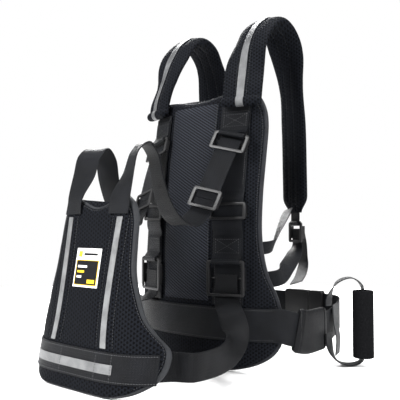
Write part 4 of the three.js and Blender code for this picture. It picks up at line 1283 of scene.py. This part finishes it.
# %% Child's straps
for side, label in SIDES:
    level = Vector((1, 0, 0))
    glide_across, glide_up = slider_frame(1)
    band_lift = CHILD_FACE + 0.0007 + 0.0012

    def front(z):
        return CHILD.on(0.050, z, band_lift), CHILD.along(0.050)

    def turned(inwards):
        return Vector((1, -inwards, 0))

    def glide(t):
        return TRI_GLIDE + glide_up * t, glide_across

    stops = [front(0.238), front(0.262), (mm(50, -172, 296), turned(0.36)), (mm(51, -162, 324), turned(0.45)),
             (mm(52, -145, 336), turned(0.42)), (mm(53, -130, 322), turned(0.34)),
             (mm(54, -122, 290), turned(0.28)), (mm(55, -109, 254), turned(0.14)),
             (mm(56, -92, 232), level), (mm(58, -73, 223), level),
             (mm(60.5, -61, 227.5), glide_across), glide(-0.022), glide(-0.008), glide(0)]
    child_strap = strap(f"chest_strap_{label}", mirrored_stops(stops, side), 0.038, end=0.998)
    dress(child_strap, f"child_strap_{label}", "webbing",
          blend=("child_panel", "back_pad", mirror(mm(52, -165, 300), side), mirror(mm(58, -73, 223), side)))
    across, up = slider_frame(side)
    link_end = hung_middle(bar_of(0.363, side), across, up, 0.030) + up * 0.005
    at = mirror(TRI_GLIDE, side)
    glide_top = at + up * 0.048
    stops = [(at + up * (0.0005 + 0.0475 * k / 4), across) for k in range(5)]
    stops += [((glide_top + link_end) / 2, across), (link_end, across)]
    link = strap(f"link_{label}", stops, 0.038)
    dress(link, f"strap_link_{label}", "webbing",
          blend=("back_pad", f"upper_slider_{label}", glide_top, link_end))

    def wing(x):
        return CHILD.on(x, 0.039, -CHILD_FACE - 0.003), CHILD.up(0.039)

    lower_up = PAD.up(0.142)
    pad_across = PAD.along(COLUMN_X)
    lower_at = hung_middle(bar_of(0.167, 1), pad_across, lower_up, 0.054)
    stops = [wing(0.100), wing(0.118), wing(0.134),
             (mm(148, -146, 39), UPRIGHT), (mm(152, -118, 40), UPRIGHT),
             (mm(150, -88, 43), Vector((-0.1, 0.1, 1))), (mm(143, -60, 52), Vector((-0.4, 0.25, 0.9))),
             (mm(130, -38, 68), Vector((-0.75, 0.1, 0.65))), (mm(108, -24, 92), Vector((-0.95, -0.15, 0.3))),
             *[(lower_at + lower_up * rise, -pad_across) for rise in (-0.031, -0.014, 0.006)]]
    belt = strap(f"waist_belt_{label}", mirrored_stops(stops, side), 0.038)
    dress(belt, f"child_belt_{label}", "webbing_soft",
          blend=("child_panel", "back_pad", mirror(mm(150, -150, 40), side), mirror(mm(112, -26, 88), side)))

# %% Sew every seam
sew_all()

# %% Finish
bpy.context.view_layer.update()
